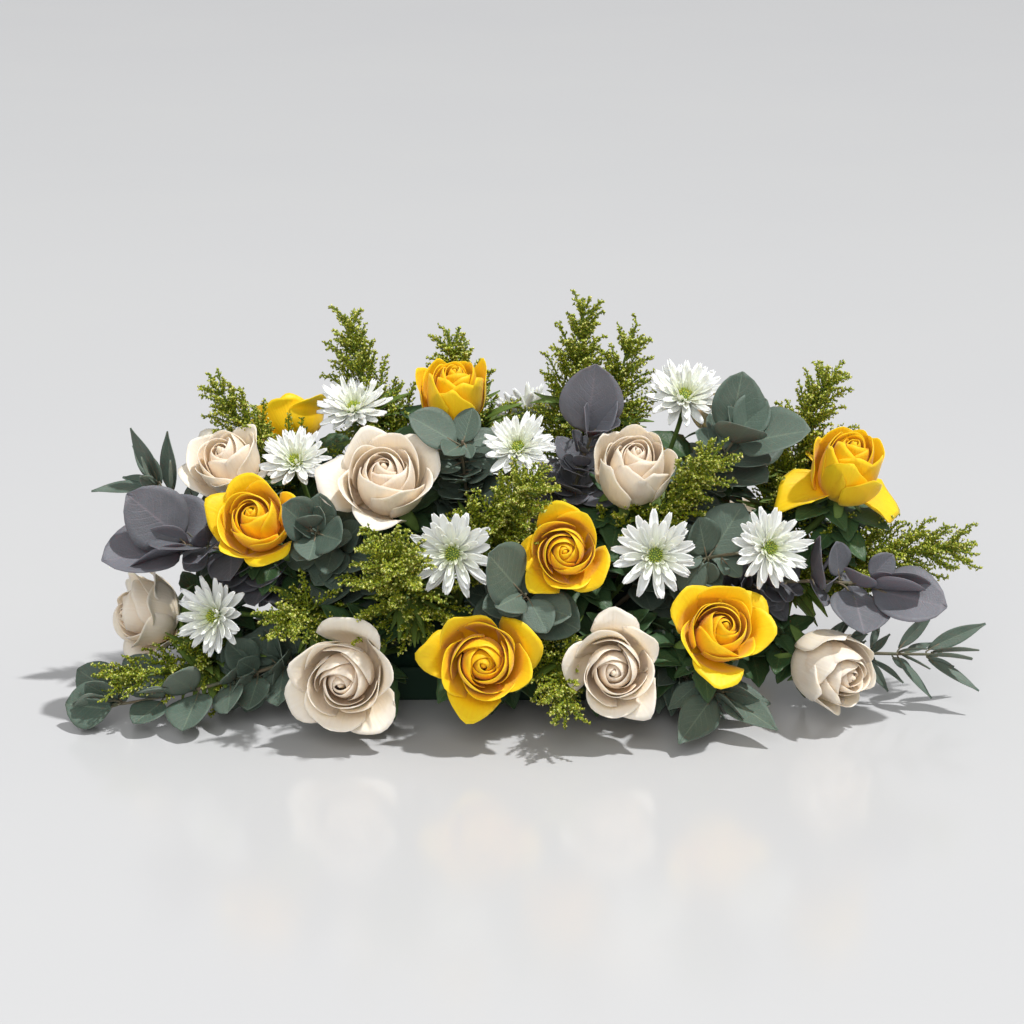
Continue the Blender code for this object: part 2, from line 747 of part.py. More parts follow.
def eucalyptus_solid(crowd, branch, curve):
    """A shoot with flat leaves: pairs of them at the upper nodes, and up to four at each lower one.

    A leaf with a given tip grows from the stem's side nearest its way, and one that would touch
    another solid is left off.
    """
    bm = bmesh.new()
    length = curve_length(curve)
    rings = green_stem(bm, curve, node_shares(branch, length, NODE_LENGTH), GREEN_STEM_RADIUS, branch.twist)
    spine = spine_of(rings)
    grown = Crowd()
    grown.trees = list(crowd.trees)
    for node in reversed(range(branch.count)):
        low, high = rings[2 + 2 * node], rings[3 + 2 * node]
        size = branch.size * (1 + (branch.taper - 1) * node / max(1, branch.count - 1))
        faces = [side_face(bm, low[0], high[0], index) for index in range(4)]
        placed = node - branch.count + len(branch.tips)
        for leaf in range(2 if placed >= 0 else 4):
            if placed >= 0:
                tip = Vector(branch.tips[placed][leaf])
                free = [face for face in faces if face is not None]
                face = max(free, key=lambda f: f.normal.dot((tip - f.calc_center_median()).normalized()))
                tips = shifted_tips(face.calc_center_median(), tip)
            else:
                face = faces[(node + LEAF_ORDER[leaf]) % 4]
                tips = natural_tips(face.calc_center_median(), face.normal.copy(), high[2], size)
            sections = free_leaf(grown, face, spine, tips, branch.narrow)
            if sections is None:
                continue
            sprout(bm, face, sections)
            faces[faces.index(face)] = None
            grown.add_limb(sections)
    return bm


def shoot_sections(base, outward, along, length, radius, lean, twist):
    """Four-cornered sections of a side shoot that arches out from the stem and up."""
    lean = math.radians(lean)
    axis = along.cross(outward).normalized()
    made = []
    for share, thick in SHOOT_SECTIONS:
        bend = lean + math.radians(28) * share
        grow = (outward * math.cos(lean) + along * math.sin(lean) + axis * twist).normalized()
        middle = base + grow * length * share + along * length * 0.10 * share * share
        forward = (outward * math.cos(bend) + along * math.sin(bend) + axis * twist).normalized()
        side = across(forward, axis)
        up = forward.cross(side)
        reach = radius * thick
        made.append([middle + side * reach, middle + up * reach, middle - side * reach, middle - up * reach])
    return made


def shoot_points(sections, base):
    """Points down the middle of a side shoot."""
    middles = [base] + [sum(section, Vector()) / 4 for section in sections]
    points = []
    for a, b in zip(middles, middles[1:]):
        points += [a.lerp(b, k / 4) for k in range(1, 5)]
    return points


def free_shoot(crowd, face, spine, along, size):
    """Sections of the first side shoot from a stem's side face that touches nothing, or None."""
    base, outward = face.calc_center_median(), face.normal.copy()
    for share in (1.0, 0.75, 0.5):
        length = size * share
        radius = min(SHOOT_RADIUS, length * SHOOT_PLUMP)
        for lean in SHOOT_LEANS:
            for twist in (0.0, 0.5, -0.5):
                sections = shoot_sections(base, outward, along, length, radius, lean, twist)
                points = shoot_points(sections, base)[1:]
                corners = [corner for section in sections for corner in section]
                if any(in_foam(point, SHOOT_RADIUS + LEAF_GAP) for point in points):
                    continue
                if crowd.clear(points, SHOOT_RADIUS + LEAF_GAP) and off_spine(corners, spine, STEM_CLEARANCE):
                    return sections
    return None


def goldenrod_solid(crowd, branch, curve):
    """A shoot with side shoots on all sides of each node, wherever one has room to grow."""
    bm = bmesh.new()
    length = curve_length(curve)
    rings = green_stem(bm, curve, node_shares(branch, length, NODE_LENGTH), GREEN_STEM_RADIUS, branch.twist)
    spine = spine_of(rings)
    grown = Crowd()
    grown.trees = list(crowd.trees)
    for node in range(branch.count):
        low, high = rings[2 + 2 * node], rings[3 + 2 * node]
        size = branch.size * (1 + (branch.taper - 1) * node / max(1, branch.count - 1))
        for turn in LEAF_ORDER:
            face = side_face(bm, low[0], high[0], (node + turn) % 4)
            share = 1.0 if turn % 2 == 0 else CROSS_SHARE
            sections = free_shoot(grown, face, spine, high[2], size * share)
            if sections:
                sprout(bm, face, sections)
                grown.add_limb(sections)
    return bm


def rounded_loop(bm, half_x, half_y, corner, height, steps=3):
    """A ring of vertices round a rectangle with rounded corners."""
    verts = []
    for quadrant, (sx, sy) in enumerate(QUADRANTS):
        for k in range(steps + 1):
            angle = math.pi / 2 * (quadrant + k / steps)
            x = sx * (half_x - corner) + corner * math.cos(angle)
            y = sy * (half_y - corner) + corner * math.sin(angle)
            verts.append(bm.verts.new((x, y, height)))
    return verts


def tray_solid():
    """The shallow dish under the foam, with a little draft on its walls and a flat foot."""
    bm = bmesh.new()
    inner_x, inner_y = FOAM_LENGTH / 2 + FOAM_SLACK, FOAM_WIDTH / 2 + FOAM_SLACK
    outer_x, outer_y = inner_x + TRAY_WALL, inner_y + TRAY_WALL
    tight, taper = TRAY_CORNER - TRAY_WALL, TRAY_DRAFT * 0.5
    loops = [
        rounded_loop(bm, outer_x - TRAY_DRAFT, outer_y - TRAY_DRAFT, TRAY_CORNER, 0.0),
        rounded_loop(bm, outer_x, outer_y, TRAY_CORNER, TRAY_HEIGHT),
        rounded_loop(bm, inner_x, inner_y, tight, TRAY_HEIGHT),
        rounded_loop(bm, inner_x - taper, inner_y - taper, tight, TRAY_FLOOR),
    ]
    for low, high in zip(loops, loops[1:]):
        bridge(bm, low, high)
    bm.faces.new(loops[0][::-1])
    bm.faces.new(loops[-1])
    return bm


def foam_solid():
    """The foam brick with its top edges cut back, as a florist does."""
    bm = bmesh.new()
    half_x, half_y = FOAM_LENGTH / 2, FOAM_WIDTH / 2
    loops = []
    for inset, height in ((0.0, FOAM_BASE), (0.0, FOAM_TOP - FOAM_CHAMFER), (FOAM_CHAMFER, FOAM_TOP)):
        loop = [bm.verts.new((sx * (half_x - inset), sy * (half_y - inset), height)) for sx, sy in QUADRANTS]
        loops.append(loop)
    for low, high in zip(loops, loops[1:]):
        bridge(bm, low, high)
    bm.faces.new(loops[0][::-1])
    bm.faces.new(loops[-1])
    return bm


def socket_path(curve, shares):
    """Points of a stem's straight lengths from its foot to a little beyond the foam, with shares."""
    fine = []
    ends = sorted(shares)
    for low, high in zip(ends, ends[1:]):
        a, b = curve(low), curve(high)
        for k in range(20):
            fine.append((a.lerp(b, k / 20), low + (high - low) * k / 20, k == 0))
    travelled, kept = 0.0, [fine[0]]
    for last, here in zip(fine, fine[1:]):
        outside = not in_foam(here[0])
        travelled = travelled + (here[0] - last[0]).length if outside else 0.0
        if travelled > SOCKET_OVERRUN:
            return kept + [here]
        if here[2]:
            kept.append(here)
    return kept


def socket_cutter(bm, curve, shares, radius):
    """Adds one stem's socket to the cutter. It follows the straight lengths between the stem's rings."""
    side = Vector((0, 0, 1))
    wide = [radius + SOCKET_GAP + 0.0003] * SOCKET_SIDES
    rings = []
    for here, share, _ in socket_path(curve, shares):
        along = (curve(min(1.0, share + 0.01)) - curve(max(0.0, share - 0.01))).normalized()
        side = across(along, side)
        back = SOCKET_GAP if not rings else 0.0
        rings.append(ring(bm, here - along * back, side, along.cross(side), wide))
    for low, high in zip(rings, rings[1:]):
        bridge(bm, low, high)
    bm.faces.new(rings[0][::-1])
    bm.faces.new(rings[-1])


def in_foam(point, skin=0.0):
    """True inside the foam brick's outline, or within skin of it."""
    flat = abs(point.x) < FOAM_LENGTH / 2 + skin and abs(point.y) < FOAM_WIDTH / 2 + skin
    return flat and FOAM_BASE - skin < point.z < FOAM_TOP + skin


def build_tray(crowd):
    """Makes the tray. Stems that come later keep clear of it."""
    bm = tray_solid()
    crowd.add(bm)
    add_object("tray", bm, TRAY_PLASTIC)


def build_flowers(crowd, sockets):
    """Places every head first, then finds each its stem."""
    for flower in FLOWERS:
        bm = head_solid(flower)
        crowd.add(bm)
        bm.free()
    for number, flower in enumerate(FLOWERS):
        head, axis = flower.head, facing(flower.turn, flower.tilt)
        neck = Vector(flower.centre) + axis * head.neck * flower.radius
        own = crowd.trees.pop(number + TRAY_SOLIDS)
        lead = neck - axis * 0.02
        curve = find_route(crowd, [lead, neck], lead, head.stem_radius)
        bm = flower_solid(flower, curve)
        crowd.trees.insert(number + TRAY_SOLIDS, own)
        crowd.add(bm)
        socket_cutter(sockets, curve, STEM_SHARES, head.stem_radius)
        add_object(flower.name, bm, head.finish, smooth=True)


def find_branch(crowd, branch):
    """The stem of a shoot: its own path, or the first one beside it that is free."""
    for nudge in PATH_NUDGES:
        path = [Vector(point) + Vector(nudge) for point in branch.path]
        curve = find_route(crowd, path, path[0], GREEN_STEM_RADIUS, nudge == PATH_NUDGES[-1])
        if curve:
            return curve
    return None


def build_foliage(crowd, sockets):
    """Threads the foliage between the flowers."""
    makers = [(branch, eucalyptus_solid, branch.finish) for branch in EUCALYPTUS]
    makers += [(branch, goldenrod_solid, GOLDENROD) for branch in GOLDENRODS]
    for branch, solid, finish in makers:
        curve = find_branch(crowd, branch)
        bm = solid(crowd, branch, curve)
        crowd.add(bm)
        shares = node_shares(branch, curve_length(curve), NODE_LENGTH)
        socket_cutter(sockets, curve, shares, GREEN_STEM_RADIUS)
        add_object(branch.name, bm, finish)


def build_foam(sockets):
    """The foam, with a blind socket for every stem."""
    foam = add_object("foam", foam_solid(), WET_FOAM)
    cutter = add_object("socket_cutter", sockets, WET_FOAM)
    cutter.hide_render = True
    cutter.display_type = "WIRE"
    cut = foam.modifiers.new("sockets", "BOOLEAN")
    cut.operation = "DIFFERENCE"
    cut.solver = "EXACT"
    cut.use_self = True
    cut.object = cutter


def main():
    """Builds the whole centrepiece."""
    clear_scene()
    crowd = Crowd()
    sockets = bmesh.new()
    build_tray(crowd)
    build_flowers(crowd, sockets)
    build_foliage(crowd, sockets)
    build_foam(sockets)


main()
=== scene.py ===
"""The looks of a low, long table centrepiece of cut flowers.

Every flower and shoot is dressed along the stem, head and leaf places of its own solid, so each
piece stands where the solid stands: petals in whorls, round silver leaves with veins, and plumes
of tight buds. Metres, +Z up.
"""

from __future__ import annotations

import itertools
import json
import logging
import math
from dataclasses import dataclass, field
from enum import Enum
from functools import cache
from typing import Iterable, Sequence

import bpy
import numpy as np
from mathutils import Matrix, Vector


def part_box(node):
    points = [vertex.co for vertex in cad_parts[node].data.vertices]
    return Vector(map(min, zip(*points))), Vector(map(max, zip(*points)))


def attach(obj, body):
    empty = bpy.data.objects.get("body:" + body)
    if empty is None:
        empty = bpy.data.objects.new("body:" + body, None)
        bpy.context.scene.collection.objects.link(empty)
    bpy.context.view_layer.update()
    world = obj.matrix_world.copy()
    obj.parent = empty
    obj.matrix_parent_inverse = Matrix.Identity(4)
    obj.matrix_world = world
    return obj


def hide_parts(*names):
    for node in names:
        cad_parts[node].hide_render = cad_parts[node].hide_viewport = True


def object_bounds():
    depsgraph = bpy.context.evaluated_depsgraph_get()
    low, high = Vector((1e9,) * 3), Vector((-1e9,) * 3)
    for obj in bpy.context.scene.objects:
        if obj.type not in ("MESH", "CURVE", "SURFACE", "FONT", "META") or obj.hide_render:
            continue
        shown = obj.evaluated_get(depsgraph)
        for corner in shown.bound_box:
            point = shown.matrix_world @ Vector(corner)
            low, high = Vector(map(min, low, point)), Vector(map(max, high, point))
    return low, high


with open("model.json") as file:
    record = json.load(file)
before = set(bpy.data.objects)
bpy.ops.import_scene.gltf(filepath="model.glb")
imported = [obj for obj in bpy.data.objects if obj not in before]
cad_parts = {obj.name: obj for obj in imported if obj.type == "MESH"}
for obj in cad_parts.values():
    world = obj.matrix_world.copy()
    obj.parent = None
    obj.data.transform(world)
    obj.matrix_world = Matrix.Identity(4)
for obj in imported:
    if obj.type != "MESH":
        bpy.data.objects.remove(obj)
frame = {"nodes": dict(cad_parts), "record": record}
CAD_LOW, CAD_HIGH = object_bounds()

logging.basicConfig(level=logging.INFO, format="%(message)s")
LOG = logging.getLogger("centrepiece")

Array = np.ndarray
Colour = tuple[float, float, float]
Direction = tuple[float, float, float]
Socket = bpy.types.NodeSocket
Node = bpy.types.Node
NodeTree = bpy.types.NodeTree
Material = bpy.types.Material
Mesh = bpy.types.Mesh
Object = bpy.types.Object

ROOT_BODY = "root"
TINT = "tint"
UV_NAME = "blade"
GOLDEN_ANGLE = math.radians(137.508)
FULL_TURN = 6.28

# A stem's cut end is the part of its solid nearest the foam's core, the line y = 0 at this height,
# and takes in the corners within this reach of the nearest one.
CORE_HEIGHT = 0.028
FOOT_REACH = 0.0056
# The edges round a stem ring of a shoot's solid are longer than the first and shorter than the second.
STEM_SIDE = (0.0019, 0.0027)
# How far added leaves keep from the floor, the holder and the sides of the solids' box.
FLOOR_GAP = 0.005
SIDE_GAP = 0.001


# ---------------------------------------------------------------------------- numbers and curves


def unit(vector: Array) -> Array:
    """Scales a vector to length one.

    Args:
        vector: any vector, or an array of them along the last axis.
    Returns:
        The unit vector or vectors.
    """
    length = np.linalg.norm(vector, axis=-1, keepdims=True)
    return vector / np.maximum(length, 1e-12)


def square_to(axis: Array, near: Array) -> Array:
    """The unit vector square to axis that lies closest to near.

    Args:
        axis: unit vector to be square to.
        near: the direction wanted.
    Returns:
        A unit vector.
    """
    side = near - axis * float(np.dot(near, axis))
    if np.linalg.norm(side) < 1e-6:
        side = np.cross(axis, (0.31, 0.77, 0.55))
    return unit(side)


def smooth_path(points: Array, steps: int = 6) -> Array:
    """A curve that passes through every point.

    Args:
        points: the points, in order.
        steps: pieces between two neighbouring points.
    Returns:
        The points of the curve.
    """
    points = np.asarray(points, float)
    first = points[0] * 2 - points[1]
    last = points[-1] * 2 - points[-2]
    line = np.vstack([first, points, last])
    made = []
    for a, b, c, d in zip(line, line[1:], line[2:], line[3:]):
        for k in range(steps):
            t = k / steps
            bend = (2 * a - 5 * b + 4 * c - d) * t**2 + (3 * b - a - 3 * c + d) * t**3
            made.append(0.5 * (2 * b + (c - a) * t + bend))
    made.append(points[-1])
    return np.array(made)


def ease(value: Array | float) -> Array | float:
    """Smooth step from 0 to 1, for numbers or arrays."""
    value = np.clip(value, 0.0, 1.0)
    return value * value * (3 - 2 * value)


def grid_shares(across: int, along: int) -> tuple[Array, Array]:
    """Shares across a blade, from -1 to 1, and along it, from 0 to 1, for a grid of points.

    Args:
        across: points across.
        along: points along.
    Returns:
        A column and a row.
    """
    return np.linspace(-1, 1, across)[:, None], np.linspace(0, 1, along)[None, :]


def leaf_surface(
    base: Array, grow: Array, side: Array, along: Array, across: Array, lift: Array
) -> Array:
    """The middle surface of a leaf.

    Args:
        base: its foot.
        grow: unit vector along it.
        side: unit vector across it.
        along: distances from the foot.
        across: distances from the middle line.
        lift: heights above its plane.
    Returns:
        Its points, (across, along, 3).
    """
    normal = np.cross(side, grow)
    return base + grow * along[..., None] + side * across[..., None] + normal * lift[..., None]


# ---------------------------------------------------------------------------- mesh building


class Mesher:
    """Collects the faces of one piece, with a material, a tint and a surface position for each."""

    def __init__(self) -> None:
        """Starts with no faces."""
        self.points: list[Array] = []
        self.tints: list[Array] = []
        self.places: list[Array] = []
        self.faces: list[tuple[int, ...]] = []
        self.slots: list[int] = []
        self.count = 0

    def add(
        self, points: Array, faces: Iterable[Sequence[int]], slot: int, tint: Array, place: Array
    ) -> None:
        """Adds faces.

        Args:
            points: their corners, one row each.
            faces: corner numbers, counted within points.
            slot: index of the material.
            tint: red, green and blue values of each corner, or of all of them.
            place: surface position of each corner, or of all of them.
        """
        size = len(points)
        self.points.append(points)
        self.tints.append(np.broadcast_to(tint, (size, 3)))
        self.places.append(np.broadcast_to(place, (size, 2)))
        start = self.count
        for face in faces:
            self.faces.append(tuple(int(corner) + start for corner in face))
            self.slots.append(slot)
        self.count += size

    def blade(
        self, grid: Array, thickness: Array | float, slot: int, tone: float, layer: float = 0.0
    ) -> None:
        """Adds a thin closed blade, such as a petal or a leaf.

        Args:
            grid: its middle surface, (across, along, 3). Across times along points to the upper side.
            thickness: its thickness, for all points or for each.
            slot: index of the material.
            tone: a value of its own, from 0 to 1, that the material varies its colour by.
            layer: how far out a petal is, from 0 to 1. At 0 the lower side is told apart by 0.5.
        """
        wide, long = grid.shape[:2]
        du = np.gradient(grid, axis=0)
        dv = np.gradient(grid, axis=1)
        normal = unit(np.cross(du, dv))
        half = np.asarray(thickness) / 2
        half = half[..., None] if np.ndim(half) == 2 else half
        upper, lower = grid + normal * half, grid - normal * half
        across = np.repeat(np.linspace(0, 1, wide)[:, None], long, 1)
        along = np.repeat(np.linspace(0, 1, long)[None, :], wide, 0)
        place = np.stack([across, along], -1).reshape(-1, 2)
        number = np.arange(wide * long).reshape(wide, long)
        a, b, c, d = number[:-1, :-1], number[1:, :-1], number[1:, 1:], number[:-1, 1:]
        quads = np.stack([a, b, c, d], -1).reshape(-1, 4)
        under = quads[:, ::-1] + wide * long
        ring = np.concatenate([number[:, 0], number[-1, 1:], number[-2::-1, -1], number[0, -2:0:-1]])
        turned = np.roll(ring, -1)
        shift = wide * long
        rim = np.stack([turned, ring, ring + shift, turned + shift], -1)
        top = np.stack([along, np.full_like(along, layer), np.full_like(along, tone)], -1).reshape(-1, 3)
        bottom = top.copy()
        bottom[:, 1] = layer + 0.5 if layer == 0.0 else layer
        self.add(
            np.vstack([upper.reshape(-1, 3), lower.reshape(-1, 3)]),
            np.vstack([quads, under, rim]),
            slot,
            np.vstack([top, bottom]),
            np.vstack([place, place]),
        )

    def tube(
        self, path: Array, radii: Array | float, slot: int, tone: float = 0.5, sides: int = 8
    ) -> None:
        """Adds a closed tube with rounded ends.

        Args:
            path: points along its middle.
            radii: its radius, for all points or for each.
            slot: index of the material.
            tone: a value of its own that the material varies its colour by.
            sides: faces round it.
        """
        path = np.asarray(path, float)
        radii = np.broadcast_to(radii, len(path)).astype(float)
        way = unit(np.gradient(path, axis=0))
        side = square_to(way[0], np.array((0.2, 0.3, 1.0)))
        turn = np.arange(sides) * 2 * math.pi / sides
        rings = []
        for here, along, radius in zip(path, way, radii):
            side = square_to(along, side)
            up = np.cross(along, side)
            rings.append(here + (np.cos(turn)[:, None] * side + np.sin(turn)[:, None] * up) * radius)
        first = path[:1] - way[:1] * radii[0] * 0.5
        last = path[-1:] + way[-1:] * radii[-1] * 0.5
        points = np.vstack([*rings, first, last])
        faces: list[tuple[int, ...]] = []
        for k in range(len(path) - 1):
            for i in range(sides):
                j = (i + 1) % sides
                faces.append((k * sides + i, k * sides + j, (k + 1) * sides + j, (k + 1) * sides + i))
        end = len(path) * sides
        for i in range(sides):
            j = (i + 1) % sides
            faces.append((end, j, i))
            faces.append((end + 1, end - sides + i, end - sides + j))
        share = np.repeat(np.linspace(0, 1, len(path)), sides)
        tint = np.stack([share, np.zeros_like(share), np.full_like(share, tone)], -1)
        tint = np.vstack([tint, (0, 0, tone), (1, 0, tone)])
        place = np.stack([np.tile(turn / (2 * math.pi), len(path)), share], -1)
        self.add(points, faces, slot, tint, np.vstack([place, (0.5, 0), (0.5, 1)]))

    def object(self, name: str, materials: Sequence[Material]) -> Object:
        """Makes the collected faces an object in place.

        Args:
            name: name of the piece.
            materials: its materials, in the order of the slots.
        Returns:
            The object.
        """
        mesh = bpy.data.meshes.new(name)
        points = np.vstack(self.points)
        mesh.from_pydata(points.tolist(), [], self.faces)
        for made in materials:
            mesh.materials.append(made)
        mesh.polygons.foreach_set("material_index", np.array(self.slots, np.int32))
        tint = mesh.attributes.new(TINT, "FLOAT_COLOR", "POINT")
        colours = np.hstack([np.vstack(self.tints), np.ones((len(points), 1))])
        tint.data.foreach_set("color", colours.astype(np.float32).ravel())
        corners = np.empty(len(mesh.loops), np.int32)
        mesh.loops.foreach_get("vertex_index", corners)
        layer = mesh.uv_layers.new(name=UV_NAME)
        layer.data.foreach_set("uv", np.vstack(self.places)[corners].astype(np.float32).ravel())
        mesh.shade_smooth()
        mesh.update()
        made = bpy.data.objects.new(name, mesh)
        bpy.context.scene.collection.objects.link(made)
        return made


# ---------------------------------------------------------------------------- places on the solids


@dataclass
class Limb:
    """A leaf or side shoot of a solid: where it leaves the stem and the corners of its sections."""

    base: Array
    sections: list[Array]

    @property
    def tip(self) -> Array:
        """Middle of its last section."""
        return self.sections[-1].mean(0)

    @property
    def start(self) -> Array:
        """Middle of its first section."""
        return self.sections[0].mean(0)

    def turned(self, axis: Array, angle: float, shift: Array, share: float) -> Limb:
        """A copy turned about its stem, moved along it and made smaller.

        Args:
            axis: direction of the stem.
            angle: how far to turn.
            shift: how far to move.
            share: its size in shares of this limb's.
        Returns:
            The copy.
        """
        def place(points: Array) -> Array:
            """The points of the copy."""
            off = (points - self.base) * share
            across = np.cross(np.broadcast_to(axis, off.shape), off)
            along = (off @ axis)[..., None] * axis * (1 - math.cos(angle))
            return self.base + shift + off * math.cos(angle) + across * math.sin(angle) + along

        return Limb(place(self.base[None, :])[0], [place(section) for section in self.sections])


class Solid:
    """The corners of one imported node, merged, with which of them are joined by an edge."""

    def __init__(self, node: str) -> None:
        """Reads the node's mesh.

        Args:
            node: the node's name.
        """
        mesh = frame["nodes"][node].data
        flat = np.empty(len(mesh.vertices) * 3, np.float32)
        mesh.vertices.foreach_get("co", flat)
        rounded = np.round(flat.reshape(-1, 3).astype(float), 6)
        self.spots, index = np.unique(rounded, axis=0, return_inverse=True)
        index = index.reshape(-1)
        self.joined: dict[int, set[int]] = {i: set() for i in range(len(self.spots))}
        for face in mesh.polygons:
            corners = [int(index[corner]) for corner in face.vertices]
            for a, b in zip(corners, corners[1:] + corners[:1]):
                if a != b:
                    self.joined[a].add(b)
                    self.joined[b].add(a)

    def foot(self) -> list[int]:
        """Corners of the stem's cut end, the ring nearest the core of the foam."""
        depth = np.hypot(self.spots[:, 1], self.spots[:, 2] - CORE_HEIGHT)
        first = self.spots[int(np.argmin(depth))]
        return [int(i) for i in np.flatnonzero(np.linalg.norm(self.spots - first, axis=1) < FOOT_REACH)]

    def rings(self) -> list[Array]:
        """Every ring of corners from the foot on, for a solid with nothing at its sides.

        Returns:
            The corners of each ring.
        """
        ring, seen, made = self.foot(), set(), []
        while ring:
            made.append(self.spots[ring])
            seen.update(ring)
            ring = sorted({near for corner in ring for near in self.joined[corner]} - seen)
        return made

    def shoot(self) -> tuple[Array, list[Limb]]:
        """The stem and the limbs of a shoot.

        Returns:
            The middles of the stem's rings, from the foot on, and its limbs.
        """
        ring, seen, middles = self.foot(), set(), []
        while ring:
            middles.append(self.spots[ring].mean(0))
            seen.update(ring)
            near = sorted({other for corner in ring for other in self.joined[corner]} - seen)
            ring = [corner for corner in near if self._on_stem(corner, near)]
        limbs = []
        left = set(self.joined) - seen
        while left:
            group = self._group(left)
            left -= group
            if len(group) > 4:
                limbs.append(self._limb(group, seen))
        return np.array(middles), limbs

    def _on_stem(self, corner: int, near: list[int]) -> bool:
        """True if the corner is one of a stem ring's: two edges as long as the stem's sides end at it."""
        others = [other for other in self.joined[corner] if other in near]
        gaps = np.linalg.norm(self.spots[others] - self.spots[corner], axis=1) if others else np.array(())
        return int(np.sum((gaps > STEM_SIDE[0]) & (gaps < STEM_SIDE[1]))) >= 2

    def _group(self, left: set[int]) -> set[int]:
        """All corners of left that are joined to its first one.

        Args:
            left: the corners to look among.
        Returns:
            The group.
        """
        group, todo = set(), [min(left)]
        while todo:
            corner = todo.pop()
            if corner not in group:
                group.add(corner)
                todo += [near for near in self.joined[corner] if near in left]
        return group

    def _limb(self, group: set[int], stem: set[int]) -> Limb:
        """The limb made by a group of corners beside the stem.

        Args:
            group: its corners.
            stem: the corners of the stem.
        Returns:
            The limb, with its sections from the stem outwards.
        """
        held = {near for corner in group for near in self.joined[corner]} & stem
        ring = {corner for corner in group if self.joined[corner] & stem}
        seen, sections = set(), []
        while ring:
            sections.append(self.spots[sorted(ring)])
            seen |= ring
            ring = ({near for corner in ring for near in self.joined[corner]} & group) - seen
        return Limb(self.spots[sorted(held)].mean(0), sections)


# ---------------------------------------------------------------------------- shader node groups


def group_tree(name: str, inputs: dict[str, float], outputs: Sequence[str]) -> NodeTree:
    """Starts a shader group.

    Args:
        name: its name.
        inputs: its number inputs and their usual values.
        outputs: its number outputs.
    Returns:
        The tree, with an input and an output node.
    """
    tree = bpy.data.node_groups.new(name, "ShaderNodeTree")
    for label, value in inputs.items():
        socket = tree.interface.new_socket(label, in_out="INPUT", socket_type="NodeSocketFloat")
        socket.default_value = value
    for label in outputs:
        tree.interface.new_socket(label, in_out="OUTPUT", socket_type="NodeSocketFloat")
    tree.nodes.new("NodeGroupInput")
    tree.nodes.new("NodeGroupOutput")
    return tree


def ends(tree: NodeTree) -> tuple[Node, Node]:
    """The input and output node of a group."""
    found = {node.bl_idname: node for node in tree.nodes}
    return found["NodeGroupInput"], found["NodeGroupOutput"]


def math_node(tree: NodeTree, operation: str, *values: Socket | float) -> Socket:
    """Adds a math node.

    Args:
        tree: where to.
        operation: what it does.
        values: sockets or numbers for its inputs.
    Returns:
        Its output.
    """
    node = tree.nodes.new("ShaderNodeMath")
    node.operation = operation
    for socket, value in zip(node.inputs, values):
        if isinstance(value, (int, float)):
            socket.default_value = value
        else:
            tree.links.new(value, socket)
    return node.outputs[0]


def fibre_group() -> NodeTree:
    """Fine streaks that run along a petal or leaf, fanned out from its foot.

    Returns:
        The group, with outputs Streak and Height.
    """
    name = "fibre"
    if name in bpy.data.node_groups:
        return bpy.data.node_groups[name]
    tree = group_tree(name, {"Across": 26.0, "Along": 1.6}, ("Streak", "Height"))
    start, end = ends(tree)
    place = tree.nodes.new("ShaderNodeUVMap")
    place.uv_map = UV_NAME
    split = tree.nodes.new("ShaderNodeSeparateXYZ")
    tree.links.new(place.outputs[0], split.inputs[0])
    join = tree.nodes.new("ShaderNodeCombineXYZ")
    tree.links.new(math_node(tree, "MULTIPLY", split.outputs[0], start.outputs["Across"]), join.inputs[0])
    tree.links.new(math_node(tree, "MULTIPLY", split.outputs[1], start.outputs["Along"]), join.inputs[1])
    noise = tree.nodes.new("ShaderNodeTexNoise")
    noise.inputs["Scale"].default_value = 1.0
    noise.inputs["Detail"].default_value = 3.0
    tree.links.new(join.outputs[0], noise.inputs["Vector"])
    tree.links.new(noise.outputs["Fac"], end.inputs["Streak"])
    tree.links.new(noise.outputs["Fac"], end.inputs["Height"])
    return tree


def mottle_group() -> NodeTree:
    """Soft patches of light and dark over a surface.

    Returns:
        The group, with output Mask.
    """
    name = "mottle"
    if name in bpy.data.node_groups:
        return bpy.data.node_groups[name]
    tree = group_tree(name, {"Scale": 60.0, "Low": 0.35, "High": 0.65}, ("Mask",))
    start, end = ends(tree)
    place = tree.nodes.new("ShaderNodeTexCoord")
    noise = tree.nodes.new("ShaderNodeTexNoise")
    noise.inputs["Detail"].default_value = 4.0
    tree.links.new(place.outputs["Object"], noise.inputs["Vector"])
    tree.links.new(start.outputs["Scale"], noise.inputs["Scale"])
    spread = tree.nodes.new("ShaderNodeMapRange")
    tree.links.new(noise.outputs["Fac"], spread.inputs["Value"])
    tree.links.new(start.outputs["Low"], spread.inputs["From Min"])
    tree.links.new(start.outputs["High"], spread.inputs["From Max"])
    tree.links.new(spread.outputs[0], end.inputs["Mask"])
    return tree


